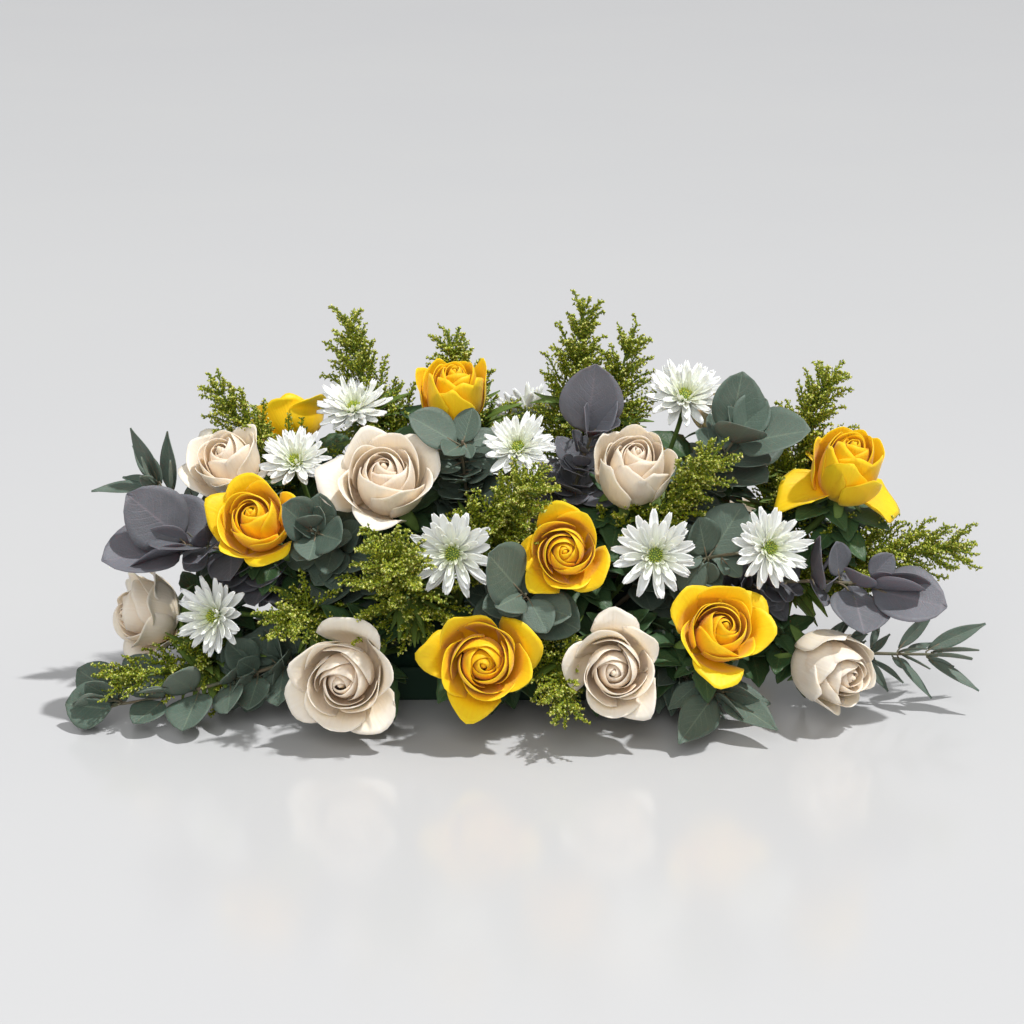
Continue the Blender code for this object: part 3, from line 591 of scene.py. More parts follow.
def vein_group() -> NodeTree:
    """The middle rib of a leaf and its side veins, slanting up from the rib.

    Returns:
        The group, with outputs Rib and Veins.
    """
    name = "leaf_veins"
    if name in bpy.data.node_groups:
        return bpy.data.node_groups[name]
    tree = group_tree(name, {"Pairs": 9.0, "Slant": 0.55, "Rib Width": 0.035}, ("Rib", "Veins"))
    start, end = ends(tree)
    place = tree.nodes.new("ShaderNodeUVMap")
    place.uv_map = UV_NAME
    split = tree.nodes.new("ShaderNodeSeparateXYZ")
    tree.links.new(place.outputs[0], split.inputs[0])
    off = math_node(tree, "ABSOLUTE", math_node(tree, "SUBTRACT", split.outputs[0], 0.5))
    rib = math_node(tree, "SUBTRACT", 1.0, math_node(tree, "DIVIDE", off, start.outputs["Rib Width"]))
    tree.links.new(math_node(tree, "MAXIMUM", rib, 0.0), end.inputs["Rib"])
    slant = math_node(tree, "MULTIPLY", off, start.outputs["Slant"])
    rise = math_node(tree, "SUBTRACT", split.outputs[1], slant)
    turns = math_node(tree, "MULTIPLY", rise, start.outputs["Pairs"])
    wave = math_node(tree, "SINE", math_node(tree, "MULTIPLY", turns, 2 * math.pi))
    sharp = math_node(tree, "POWER", math_node(tree, "MAXIMUM", wave, 0.0), 8.0)
    fade = math_node(tree, "SUBTRACT", 1.0, math_node(tree, "MULTIPLY", off, 1.7))
    tree.links.new(math_node(tree, "MULTIPLY", sharp, fade), end.inputs["Veins"])
    return tree


class Shading:
    """Builds the nodes of one material."""

    def __init__(self, name: str) -> None:
        """Starts a material.

        Args:
            name: its name.
        """
        self.material = bpy.data.materials.new(name)
        self.material.use_nodes = True
        self.tree = self.material.node_tree
        self.shader = self.tree.nodes["Principled BSDF"]

    def group(self, tree: NodeTree, **values: float) -> Node:
        """Places a group with its own values.

        Args:
            tree: the group.
            values: input names, with underscores for spaces, and their values.
        Returns:
            The group's node.
        """
        node = self.tree.nodes.new("ShaderNodeGroup")
        node.node_tree = tree
        for label, value in values.items():
            node.inputs[label.replace("_", " ")].default_value = value
        return node

    def tint(self) -> tuple[Socket, Socket, Socket]:
        """The three values of the piece's tint: along, layer and tone."""
        node = self.tree.nodes.new("ShaderNodeAttribute")
        node.attribute_name = TINT
        split = self.tree.nodes.new("ShaderNodeSeparateColor")
        self.tree.links.new(node.outputs["Color"], split.inputs[0])
        return split.outputs[0], split.outputs[1], split.outputs[2]

    def mix(self, factor: Socket | float, low: object, high: object, kind: str = "MIX") -> Socket:
        """Mixes two colours.

        Args:
            factor: how much of high.
            low: a colour or a socket.
            high: a colour or a socket.
            kind: how they blend.
        Returns:
            The mixed colour's socket.
        """
        node = self.tree.nodes.new("ShaderNodeMix")
        node.data_type = "RGBA"
        node.blend_type = kind
        for socket, value in ((node.inputs[0], factor), (node.inputs[6], low), (node.inputs[7], high)):
            if isinstance(value, tuple):
                socket.default_value = (*value, 1.0)
            elif isinstance(value, (int, float)):
                socket.default_value = value
            else:
                self.tree.links.new(value, socket)
        return node.outputs[2]

    def ramp(
        self, value: Socket, low: float, high: float, start: float = 0.0, end: float = 1.0
    ) -> Socket:
        """Maps a value from one range to another.

        Args:
            value: the value.
            low: where its range starts.
            high: where its range ends.
            start: where the new range starts.
            end: where the new range ends.
        Returns:
            The mapped value.
        """
        node = self.tree.nodes.new("ShaderNodeMapRange")
        self.tree.links.new(value, node.inputs["Value"])
        for label, number in (("From Min", low), ("From Max", high), ("To Min", start), ("To Max", end)):
            node.inputs[label].default_value = number
        return node.outputs[0]

    def bump(self, height: Socket, distance: float, strength: float = 1.0) -> None:
        """Raises the surface by a height.

        Args:
            height: the height's socket.
            distance: what a height of one stands for, in metres.
            strength: share of it that shows.
        """
        node = self.tree.nodes.new("ShaderNodeBump")
        node.inputs["Distance"].default_value = distance
        node.inputs["Strength"].default_value = strength
        self.tree.links.new(height, node.inputs["Height"])
        self.tree.links.new(node.outputs[0], self.shader.inputs["Normal"])

    def set(self, **values: float | tuple[float, ...]) -> None:
        """Sets the shader's own sockets.

        Args:
            values: socket names, with underscores for spaces, and their values.
        """
        for label, value in values.items():
            self.shader.inputs[label.replace("_", " ")].default_value = value

    def colour(self, socket: Socket) -> None:
        """Gives the surface its colour."""
        self.tree.links.new(socket, self.shader.inputs["Base Color"])

    def roughness(self, socket: Socket) -> None:
        """Gives the surface its roughness."""
        self.tree.links.new(socket, self.shader.inputs["Roughness"])


# ---------------------------------------------------------------------------- finishes


@dataclass(frozen=True)
class PetalFinish:
    """Velvety petals, deeper in colour towards the heart and the foot of each petal: partly their own
    colour, partly painted shade and warm glow deep in the cup.
    """

    name: str
    lip: Colour
    middle: Colour
    # heart: colour at the petal feet and on the inner petals, partly the flower's own colour and partly
    # painted shade in the cup.
    heart: Colour
    glow: float = 0.25

    def material(self) -> Material:
        """Makes the finish, once."""
        found = bpy.data.materials.get(self.name)
        if found:
            return found
        shading = Shading(self.name)
        along, layer, tone = shading.tint()
        fibre = shading.group(fibre_group(), Across=30.0, Along=1.4)
        patch = shading.group(mottle_group(), Scale=38.0, Low=0.3, High=0.7)
        outer = shading.mix(shading.ramp(along, 0.25, 0.9), self.middle, self.lip)
        # Deeper, warmer heart colour at each petal's foot and on the inner petals: partly the flower's
        # own colour, partly painted shade deep in the folds of the cup.
        heart_and_fold_shade = shading.mix(shading.ramp(along, 0.2, 0.95, 1.0, 0.35), outer, self.heart)
        colour = shading.mix(shading.ramp(layer, 0.05, 0.75), heart_and_fold_shade, outer)
        paler = shading.mix(0.5, colour, (1.0, 1.0, 1.0), "SOFT_LIGHT")
        colour = shading.mix(shading.ramp(fibre.outputs["Streak"], 0.4, 0.75, 0.0, 0.45), colour, paler)
        darker = shading.mix(1.0, colour, tuple(0.55 + 0.42 * c for c in self.middle), "MULTIPLY")
        colour = shading.mix(shading.ramp(patch.outputs["Mask"], 0.0, 1.0, 0.28, 0.0), colour, darker)
        colour = shading.mix(shading.ramp(tone, 0.0, 1.0, 0.30, 0.0), colour, darker)
        shading.colour(colour)
        shading.roughness(shading.ramp(fibre.outputs["Streak"], 0.3, 0.7, 0.48, 0.62))
        shading.bump(fibre.outputs["Height"], 0.0006, 0.5)
        shading.set(Subsurface_Weight=self.glow, Subsurface_Scale=0.006)
        shading.set(Subsurface_Radius=(1.0, 0.7, 0.4))
        shading.set(Specular_IOR_Level=0.35, Sheen_Weight=0.12, Sheen_Roughness=0.4)
        return shading.material


@dataclass(frozen=True)
class LeafFinish:
    """Waxy leaves with a rib and side veins, another colour underneath."""

    name: str
    upper: Colour
    under: Colour
    rib: Colour
    bloom: Colour
    rough: float = 0.55

    def material(self) -> Material:
        """Makes the finish, once."""
        found = bpy.data.materials.get(self.name)
        if found:
            return found
        shading = Shading(self.name)
        _, side, tone = shading.tint()
        veins = shading.group(vein_group(), Pairs=8.0, Slant=0.7, Rib_Width=0.03)
        patch = shading.group(mottle_group(), Scale=90.0, Low=0.35, High=0.72)
        fine = shading.group(mottle_group(), Scale=900.0, Low=0.3, High=0.7)
        colour = shading.mix(shading.ramp(side, 0.1, 0.4), self.upper, self.under)
        colour = shading.mix(shading.ramp(tone, 0.0, 1.0, 0.0, 0.45), colour, self.bloom)
        colour = shading.mix(shading.ramp(patch.outputs["Mask"], 0.0, 1.0, 0.0, 0.35), colour, self.bloom)
        colour = shading.mix(shading.ramp(veins.outputs["Veins"], 0.0, 1.0, 0.0, 0.30), colour, self.rib)
        colour = shading.mix(shading.ramp(veins.outputs["Rib"], 0.0, 1.0, 0.0, 0.75), colour, self.rib)
        shading.colour(colour)
        low, high = self.rough - 0.08, self.rough + 0.08
        shading.roughness(shading.ramp(fine.outputs["Mask"], 0.0, 1.0, low, high))
        height = math_node(shading.tree, "SUBTRACT", fine.outputs["Mask"], veins.outputs["Veins"])
        shading.bump(height, 0.0004, 0.35)
        shading.set(Subsurface_Weight=0.06, Subsurface_Scale=0.004, Specular_IOR_Level=0.4)
        return shading.material


@dataclass(frozen=True)
class SkinFinish:
    """The skin of stems, buds and moulded parts: two colours in patches, and a fine grain whose dips are
    darkened with painted shade.
    """

    name: str
    light: Colour
    dark: Colour
    rough: float
    patch: float = 120.0
    grain: float = 1500.0
    depth: float = 0.0003
    glow: float = 0.0

    def material(self) -> Material:
        """Makes the finish, once."""
        found = bpy.data.materials.get(self.name)
        if found:
            return found
        shading = Shading(self.name)
        patch = shading.group(mottle_group(), Scale=self.patch, Low=0.35, High=0.65)
        grain = shading.group(mottle_group(), Scale=self.grain, Low=0.3, High=0.7)
        colour = shading.mix(patch.outputs["Mask"], self.dark, self.light)
        shade = shading.mix(1.0, colour, (0.75, 0.75, 0.75), "MULTIPLY")
        # Painted shade: the low spots of the fine grain, where the bump dips, are darkened.
        painted_dip_shade = shading.ramp(grain.outputs["Mask"], 0.0, 1.0, 0.5, 0.0)
        shading.colour(shading.mix(painted_dip_shade, colour, shade))
        low, high = self.rough - 0.07, self.rough + 0.07
        shading.roughness(shading.ramp(grain.outputs["Mask"], 0.0, 1.0, low, high))
        shading.bump(grain.outputs["Mask"], self.depth, 0.5)
        shading.set(Subsurface_Weight=self.glow, Subsurface_Scale=0.003, Specular_IOR_Level=0.4)
        return shading.material


YELLOW_PETAL = PetalFinish(
    name="yellow_rose_petals",
    lip=(0.95, 0.60, 0.010),
    middle=(0.93, 0.50, 0.005),
    heart=(0.88, 0.33, 0.002),
    glow=0.3,
)
CREAM_PETAL = PetalFinish(
    name="cream_rose_petals",
    lip=(0.90, 0.81, 0.67),
    middle=(0.88, 0.73, 0.54),
    heart=(0.84, 0.56, 0.34),
    glow=0.25,
)
WHITE_RAY = PetalFinish(
    name="chrysanthemum_rays",
    lip=(0.90, 0.90, 0.87),
    middle=(0.86, 0.87, 0.81),
    heart=(0.66, 0.74, 0.30),
    glow=0.2,
)
SILVER_LEAF = LeafFinish(
    name="silver_leaves",
    upper=(0.072, 0.108, 0.082),
    under=(0.16, 0.195, 0.155),
    rib=(0.17, 0.22, 0.16),
    bloom=(0.135, 0.175, 0.14),
)
PLUM_LEAF = LeafFinish(
    name="plum_leaves",
    upper=(0.095, 0.100, 0.110),
    under=(0.14, 0.14, 0.165),
    rib=(0.19, 0.17, 0.19),
    bloom=(0.18, 0.18, 0.205),
)
LANCE_LEAF = LeafFinish(
    name="goldenrod_leaves",
    upper=(0.10, 0.16, 0.025),
    under=(0.15, 0.22, 0.05),
    rib=(0.20, 0.28, 0.08),
    bloom=(0.13, 0.20, 0.04),
)
ROSE_LEAF = LeafFinish(
    name="rose_leaves",
    upper=(0.034, 0.080, 0.028),
    under=(0.085, 0.13, 0.065),
    rib=(0.10, 0.16, 0.06),
    bloom=(0.050, 0.095, 0.040),
    rough=0.48,
)
GREEN_STEM = SkinFinish(
    name="green_stems",
    light=(0.14, 0.22, 0.05),
    dark=(0.09, 0.15, 0.035),
    rough=0.5,
)
BROWN_STEM = SkinFinish(
    name="eucalyptus_stems",
    light=(0.20, 0.15, 0.10),
    dark=(0.12, 0.13, 0.08),
    rough=0.6,
)
GOLD_STEM = SkinFinish(
    name="goldenrod_stems",
    light=(0.17, 0.23, 0.035),
    dark=(0.10, 0.15, 0.02),
    rough=0.55,
)
GOLD_BUD = SkinFinish(
    name="goldenrod_buds",
    light=(0.40, 0.44, 0.022),
    dark=(0.13, 0.19, 0.012),
    rough=0.6,
    patch=260.0,
    grain=2400.0,
    depth=0.0003,
    glow=0.12,
)
# Partly painted highlight: the tip buds are pale yellow, their own colour brightened to stand for the
# glints on the plume.
GOLD_TIP_AND_HIGHLIGHT = SkinFinish(
    name="goldenrod_tips_and_highlights",
    light=(0.86, 0.84, 0.32),
    dark=(0.62, 0.62, 0.12),
    rough=0.5,
    patch=260.0,
    grain=2400.0,
    depth=0.0003,
    glow=0.15,
)
HEART_FLORET = SkinFinish(
    name="chrysanthemum_heart",
    light=(0.62, 0.62, 0.08),
    dark=(0.34, 0.46, 0.06),
    rough=0.55,
    patch=500.0,
    grain=2500.0,
    depth=0.0002,
    glow=0.1,
)
# Painted shade: the foam is coloured near-black so that it reads as the shaded gap between the stems.
SHADED_FOAM = SkinFinish(
    name="foam_brick_painted_shade",
    light=(0.012, 0.040, 0.025),
    dark=(0.006, 0.024, 0.015),
    rough=0.88,
    patch=150.0,
    grain=2200.0,
    depth=0.0012,
)
TRAY_SKIN = SkinFinish(
    name="tray_plastic",
    light=(0.014, 0.038, 0.022),
    dark=(0.010, 0.028, 0.017),
    rough=0.38,
    patch=40.0,
    grain=1800.0,
    depth=0.0001,
)


# ---------------------------------------------------------------------------- geometry node trees


class Tree:
    """Builds a geometry node tree step by step."""

    def __init__(self, name: str, sizes: dict[str, float], counts: dict[str, int]) -> None:
        """Starts a tree with a geometry input and output.

        Args:
            name: its name.
            sizes: number inputs and their usual values.
            counts: whole-number inputs and their usual values.
        """
        self.tree = bpy.data.node_groups.new(name, "GeometryNodeTree")
        face = self.tree.interface
        face.new_socket("Geometry", in_out="INPUT", socket_type="NodeSocketGeometry")
        for label, value in sizes.items():
            face.new_socket(label, in_out="INPUT", socket_type="NodeSocketFloat").default_value = value
        for label, value in counts.items():
            face.new_socket(label, in_out="INPUT", socket_type="NodeSocketInt").default_value = value
        face.new_socket("Geometry", in_out="OUTPUT", socket_type="NodeSocketGeometry")
        self.start = self.tree.nodes.new("NodeGroupInput")
        self.end = self.tree.nodes.new("NodeGroupOutput")

    def node(self, kind: str, values: dict[str, object] | None = None, **settings: object) -> Node:
        """Adds a node.

        Args:
            kind: its type.
            values: inputs by name, as values or as sockets to link.
            settings: its properties.
        Returns:
            The node.
        """
        made = self.tree.nodes.new(kind)
        for label, value in settings.items():
            setattr(made, label, value)
        for label, value in (values or {}).items():
            socket = made.inputs[label]
            if isinstance(value, Socket):
                self.tree.links.new(value, socket)
            else:
                socket.default_value = value
        return made

    def random(self, low: object, high: object, seed: Socket | int, kind: str) -> Socket:
        """A random value for each item, as numbers or as vectors.

        Args:
            low: the least value.
            high: the greatest value.
            seed: what the values depend on.
            kind: FLOAT or FLOAT_VECTOR.
        Returns:
            The value's socket.
        """
        made = self.tree.nodes.new("FunctionNodeRandomValue")
        made.data_type = kind
        names = {"FLOAT": (2, 3, 1), "FLOAT_VECTOR": (0, 1, 0)}[kind]
        made.inputs[names[0]].default_value = low
        made.inputs[names[1]].default_value = high
        seed_socket = next(s for s in made.inputs if s.name == "Seed")
        if isinstance(seed, Socket):
            self.tree.links.new(seed, seed_socket)
        else:
            seed_socket.default_value = seed
        return made.outputs[names[2]]

    def painted(self, geometry: Socket, finish: SkinFinish) -> Socket:
        """Gives a geometry its finish."""
        values = {"Geometry": geometry, "Material": finish.material()}
        return self.node("GeometryNodeSetMaterial", values).outputs[0]

    def finish(self, geometry: Socket) -> NodeTree:
        """Ends the tree in this geometry."""
        self.tree.links.new(geometry, self.end.inputs[0])
        return self.tree


def plume_tree() -> NodeTree:
    """Twigs with small buds all along them, from a net of edges, and a bright bud at each tip, whose pale
    yellow is partly the buds' own and partly painted highlight.

    Returns:
        The tree.
    """
    name = "goldenrod_plume"
    if name in bpy.data.node_groups:
        return bpy.data.node_groups[name]
    sizes = {
        "Spacing": 0.0014,
        "Bud Size": 0.00105,
        "Tip Size": 0.0010,
        "Twig Radius": 0.00025,
        "Scatter": 0.0008,
    }
    made = Tree(name, sizes, {"Seed": 1})
    inputs = made.start.outputs
    curve = made.node("GeometryNodeMeshToCurve", {"Mesh": inputs["Geometry"]})
    ring = made.node(
        "GeometryNodeCurvePrimitiveCircle", {"Resolution": 3, "Radius": inputs["Twig Radius"]}
    )
    twig = made.node(
        "GeometryNodeCurveToMesh",
        {"Curve": curve.outputs[0], "Profile Curve": ring.outputs[0], "Fill Caps": True},
    )
    twigs = made.painted(twig.outputs[0], GOLD_STEM)
    spots = made.node(
        "GeometryNodeCurveToPoints",
        {"Curve": curve.outputs[0], "Length": inputs["Spacing"]},
        mode="LENGTH",
    )
    way = made.random((-1.0, -1.0, -1.0), (1.0, 1.0, 1.0), inputs["Seed"], "FLOAT_VECTOR")
    scatter = made.node("ShaderNodeVectorMath", operation="SCALE")
    made.tree.links.new(way, scatter.inputs[0])
    made.tree.links.new(inputs["Scatter"], scatter.inputs["Scale"])
    loose = made.node(
        "GeometryNodeSetPosition", {"Geometry": spots.outputs["Points"], "Offset": scatter.outputs[0]}
    )
    size = made.random(0.6, 1.3, inputs["Seed"], "FLOAT")
    turn = made.random((-1.2, -1.2, 0.0), (1.2, 1.2, 6.28), inputs["Seed"], "FLOAT_VECTOR")
    both = made.node("GeometryNodeJoinGeometry")
    made.tree.links.new(twigs, both.inputs[0])
    ends_named = made.node("GeometryNodeInputNamedAttribute", {"Name": "tip"}, data_type="BOOLEAN")
    at_tips = made.node(
        "GeometryNodeSeparateGeometry",
        {"Geometry": inputs["Geometry"], "Selection": ends_named.outputs[0]},
    )
    # The tip buds' bright finish is partly painted highlight.
    sets = (
        (loose.outputs[0], "Bud Size", 1.5, GOLD_BUD),
        (at_tips.outputs[0], "Tip Size", 1.1, GOLD_TIP_AND_HIGHLIGHT),
    )
    for points, label, stretch, finish in sets:
        bud = made.node(
            "GeometryNodeMeshUVSphere", {"Segments": 3, "Rings": 2, "Radius": inputs[label]}
        )
        long_bud = made.node(
            "GeometryNodeTransform", {"Geometry": bud.outputs[0], "Scale": (0.8, 0.8, stretch)}
        )
        placed = made.node(
            "GeometryNodeInstanceOnPoints",
            {"Points": points, "Instance": long_bud.outputs[0], "Scale": size, "Rotation": turn},
        )
        real = made.node("GeometryNodeRealizeInstances", {"Geometry": placed.outputs[0]})
        made.tree.links.new(made.painted(real.outputs[0], finish), both.inputs[0])
    smooth = made.node("GeometryNodeSetShadeSmooth", {"Geometry": both.outputs[0]})
    return made.finish(smooth.outputs[0])


def heart_tree() -> NodeTree:
    """The heart of a chrysanthemum: a close spiral of tiny tubes, from one point and its direction.

    Returns:
        The tree.
    """
    name = "chrysanthemum_heart"
    if name in bpy.data.node_groups:
        return bpy.data.node_groups[name]
    made = Tree(name, {"Floret Radius": 0.0006, "Floret Height": 0.0024}, {"Seed": 1})
    inputs = made.start.outputs
    floret = made.node(
        "GeometryNodeMeshCone",
        {
            "Vertices": 6,
            "Side Segments": 2,
            "Radius Top": 0.0004,
            "Radius Bottom": inputs["Floret Radius"],
            "Depth": inputs["Floret Height"],
        },
    )
    size = made.random(0.75, 1.15, inputs["Seed"], "FLOAT")
    away = made.node("GeometryNodeInputNamedAttribute", {"Name": "away"}, data_type="FLOAT_VECTOR")
    turn = made.node("FunctionNodeAlignRotationToVector", {"Vector": away.outputs[0]}, axis="Z")
    placed = made.node(
        "GeometryNodeInstanceOnPoints",
        {
            "Points": inputs["Geometry"],
            "Instance": floret.outputs["Mesh"],
            "Scale": size,
            "Rotation": turn.outputs[0],
        },
    )
    real = made.node("GeometryNodeRealizeInstances", {"Geometry": placed.outputs[0]})
    return made.finish(made.painted(real.outputs[0], HEART_FLORET))


def grown(name: str, seed_mesh: Mesh, tree: NodeTree, inputs: dict[str, float | int]) -> Object:
    """Runs a geometry node tree over a mesh and keeps the result as a plain mesh.

    Args:
        name: name of the piece.
        seed_mesh: what the tree starts from.
        tree: the tree.
        inputs: its inputs by name.
    Returns:
        The object.
    """
    maker = bpy.data.objects.new(name + "_maker", seed_mesh)
    bpy.context.scene.collection.objects.link(maker)
    modifier = maker.modifiers.new("grow", "NODES")
    modifier.node_group = tree
    for item in tree.interface.items_tree:
        if item.item_type == "SOCKET" and item.in_out == "INPUT" and item.name in inputs:
            modifier[item.identifier] = inputs[item.name]
    bpy.context.view_layer.update()
    graph = bpy.context.evaluated_depsgraph_get()
    mesh = bpy.data.meshes.new_from_object(maker.evaluated_get(graph), depsgraph=graph)
    mesh.name = name
    bpy.data.objects.remove(maker, do_unlink=True)
    made = bpy.data.objects.new(name, mesh)
    bpy.context.scene.collection.objects.link(made)
    return made


def settle(piece: Object, node: str) -> None:
    """Ties a finished piece to its solid.

    Args:
        piece: the piece, in place.
        node: the node it stands for.
    """
    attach(piece, ROOT_BODY)
    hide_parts(node)
    LOG.info("%s: %d faces for %s", piece.name, len(piece.data.polygons), node)


# ---------------------------------------------------------------------------- flowers


class Shape(Enum):
    """How far a rose has opened: heights and radii of its solid's eye and rim in shares of its radius."""

    OPEN = "open"
    BUD = "bud"
    FALLEN = "fallen"


# Height of the solid's flat eye and radius of its widest ring, in shares of the flower's radius.
BLOOM_SIZES = {Shape.OPEN: (0.38, 1.0), Shape.BUD: (0.68, 0.92), Shape.FALLEN: (0.66, 1.45)}
CHRYSANTHEMUM_SIZES = (0.06, 1.0)
# Radius of the ball that added leaves keep out of, in the same shares.
BUD_BALL = 0.9
CHRYSANTHEMUM_BALL = 0.8


@dataclass
class Bloom:
    """Where a flower's head is: its middle, the way it faces, its radius and its stem."""

    centre: Array
    axis: Array
    radius: float
    stem: Array

    @classmethod
    def of(cls, node: str, eye_height: float, rim_share: float) -> "Bloom":
        """Reads a flower's solid.

        Args:
            node: the flower's node.
            eye_height: height of its flat eye above its middle, in shares of its radius.
            rim_share: radius of its widest ring, in the same shares.
        Returns:
            The bloom.
        """
        rings = Solid(node).rings()
        stem = [ring for ring in rings if len(ring) <= 5]
        head = rings[len(stem):]
        eye = head[-1].mean(0)
        axis = unit(eye - head[0].mean(0))
        reach = 0.0
        for ring in head:
            off = ring - eye
            flat = off - np.outer(off @ axis, axis)
            reach = max(reach, float(np.linalg.norm(flat, axis=1).max()))
        radius = reach / rim_share
        centre = eye - axis * eye_height * radius
        return cls(centre, axis, radius, np.array([ring.mean(0) for ring in stem]))

    def frame(self) -> tuple[Array, Array]:
        """Two unit vectors square to the axis and to each other."""
        side = square_to(self.axis, np.array((0.0, 0.0, 1.0)))
        return side, np.cross(self.axis, side)

    def place(self, radius: Array, angle: Array, height: Array) -> Array:
        """Points round the axis.

        Args:
            radius: distance from the axis, in metres.
            angle: turn round it.
            height: height above the middle, in metres.
        Returns:
            Their positions, with the shape of the arguments.
        """
        side, up = self.frame()
        flat = np.cos(angle)[..., None] * side + np.sin(angle)[..., None] * up
        return self.centre + flat * radius[..., None] + self.axis * height[..., None]


BUDS = ("yellow_rose_top", "cream_rose_upper_right", "cream_rose_right")
FALLEN = ("yellow_rose_right",)


def rose_shape(node: str) -> Shape:
    """How far the rose at this node has opened."""
    if node in FALLEN:
        return Shape.FALLEN
    return Shape.BUD if node in BUDS else Shape.OPEN


@cache
def bloom_balls() -> list[tuple[Array, float]]:
    """Middle and radius of a ball round every flower head, for is_free."""
    balls = []
    for node in sorted(frame["nodes"]):
        if "_rose_" in node:
            shape = rose_shape(node)
            bloom = Bloom.of(node, *BLOOM_SIZES[shape])
            balls.append((bloom.centre, bloom.radius * (1.0 if shape is Shape.OPEN else BUD_BALL)))
        elif node.startswith("chrysanthemum"):
            bloom = Bloom.of(node, *CHRYSANTHEMUM_SIZES)
            balls.append((bloom.centre, bloom.radius * CHRYSANTHEMUM_BALL))
    return balls


@cache
def holder_boxes() -> list[tuple[Array, Array]]:
    """Least and greatest corners of the foam and the tray."""
    return [tuple(np.array(corner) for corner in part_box(node)) for node in ("foam", "tray")]


def is_free(points: Array, share: float) -> bool:
    """True if the points are in the solids' box and outside the flower heads, the foam and the tray.

    Args:
        points: the points.
        share: how much of each head's radius to keep out of.
    Returns:
        Whether they are.
    """
    low, high = np.array(CAD_LOW) + SIDE_GAP, np.array(CAD_HIGH) - SIDE_GAP
    low[2] = FLOOR_GAP
    if np.any(points < low) or np.any(points > high):
        return False
    for first, last in holder_boxes():
        inside = (points > first - SIDE_GAP) & (points < last + SIDE_GAP)
        if np.any(np.all(inside, axis=-1)):
            return False
    return all(
        np.linalg.norm(points - centre, axis=-1).min() > share * radius
        for centre, radius in bloom_balls()
    )


Spine = tuple[tuple[float, float], ...]

OPEN_SPINES: tuple[Spine, ...] = (
    ((0.03, -0.62), (0.26, -0.45), (0.24, 0.20), (0.03, 0.40)),
    ((0.03, -0.62), (0.42, -0.50), (0.44, 0.16), (0.20, 0.43)),
    ((0.03, -0.64), (0.62, -0.56), (0.56, 0.10), (0.42, 0.40)),
    ((0.03, -0.66), (0.76, -0.62), (0.62, 0.00), (0.74, 0.30)),
    ((0.03, -0.68), (0.82, -0.66), (0.66, -0.06), (0.99, 0.08)),
)
TALL_SPINES: tuple[Spine, ...] = (
    ((0.03, -0.86), (0.26, -0.70), (0.26, 0.40), (0.04, 0.66)),
    ((0.03, -0.88), (0.44, -0.78), (0.48, 0.30), (0.22, 0.68)),
    ((0.03, -0.90), (0.66, -0.84), (0.66, 0.20), (0.42, 0.66)),
    ((0.03, -0.92), (0.86, -0.86), (0.76, 0.10), (0.60, 0.62)),
    ((0.03, -0.92), (0.96, -0.84), (0.80, 0.00), (0.78, 0.50)),
)


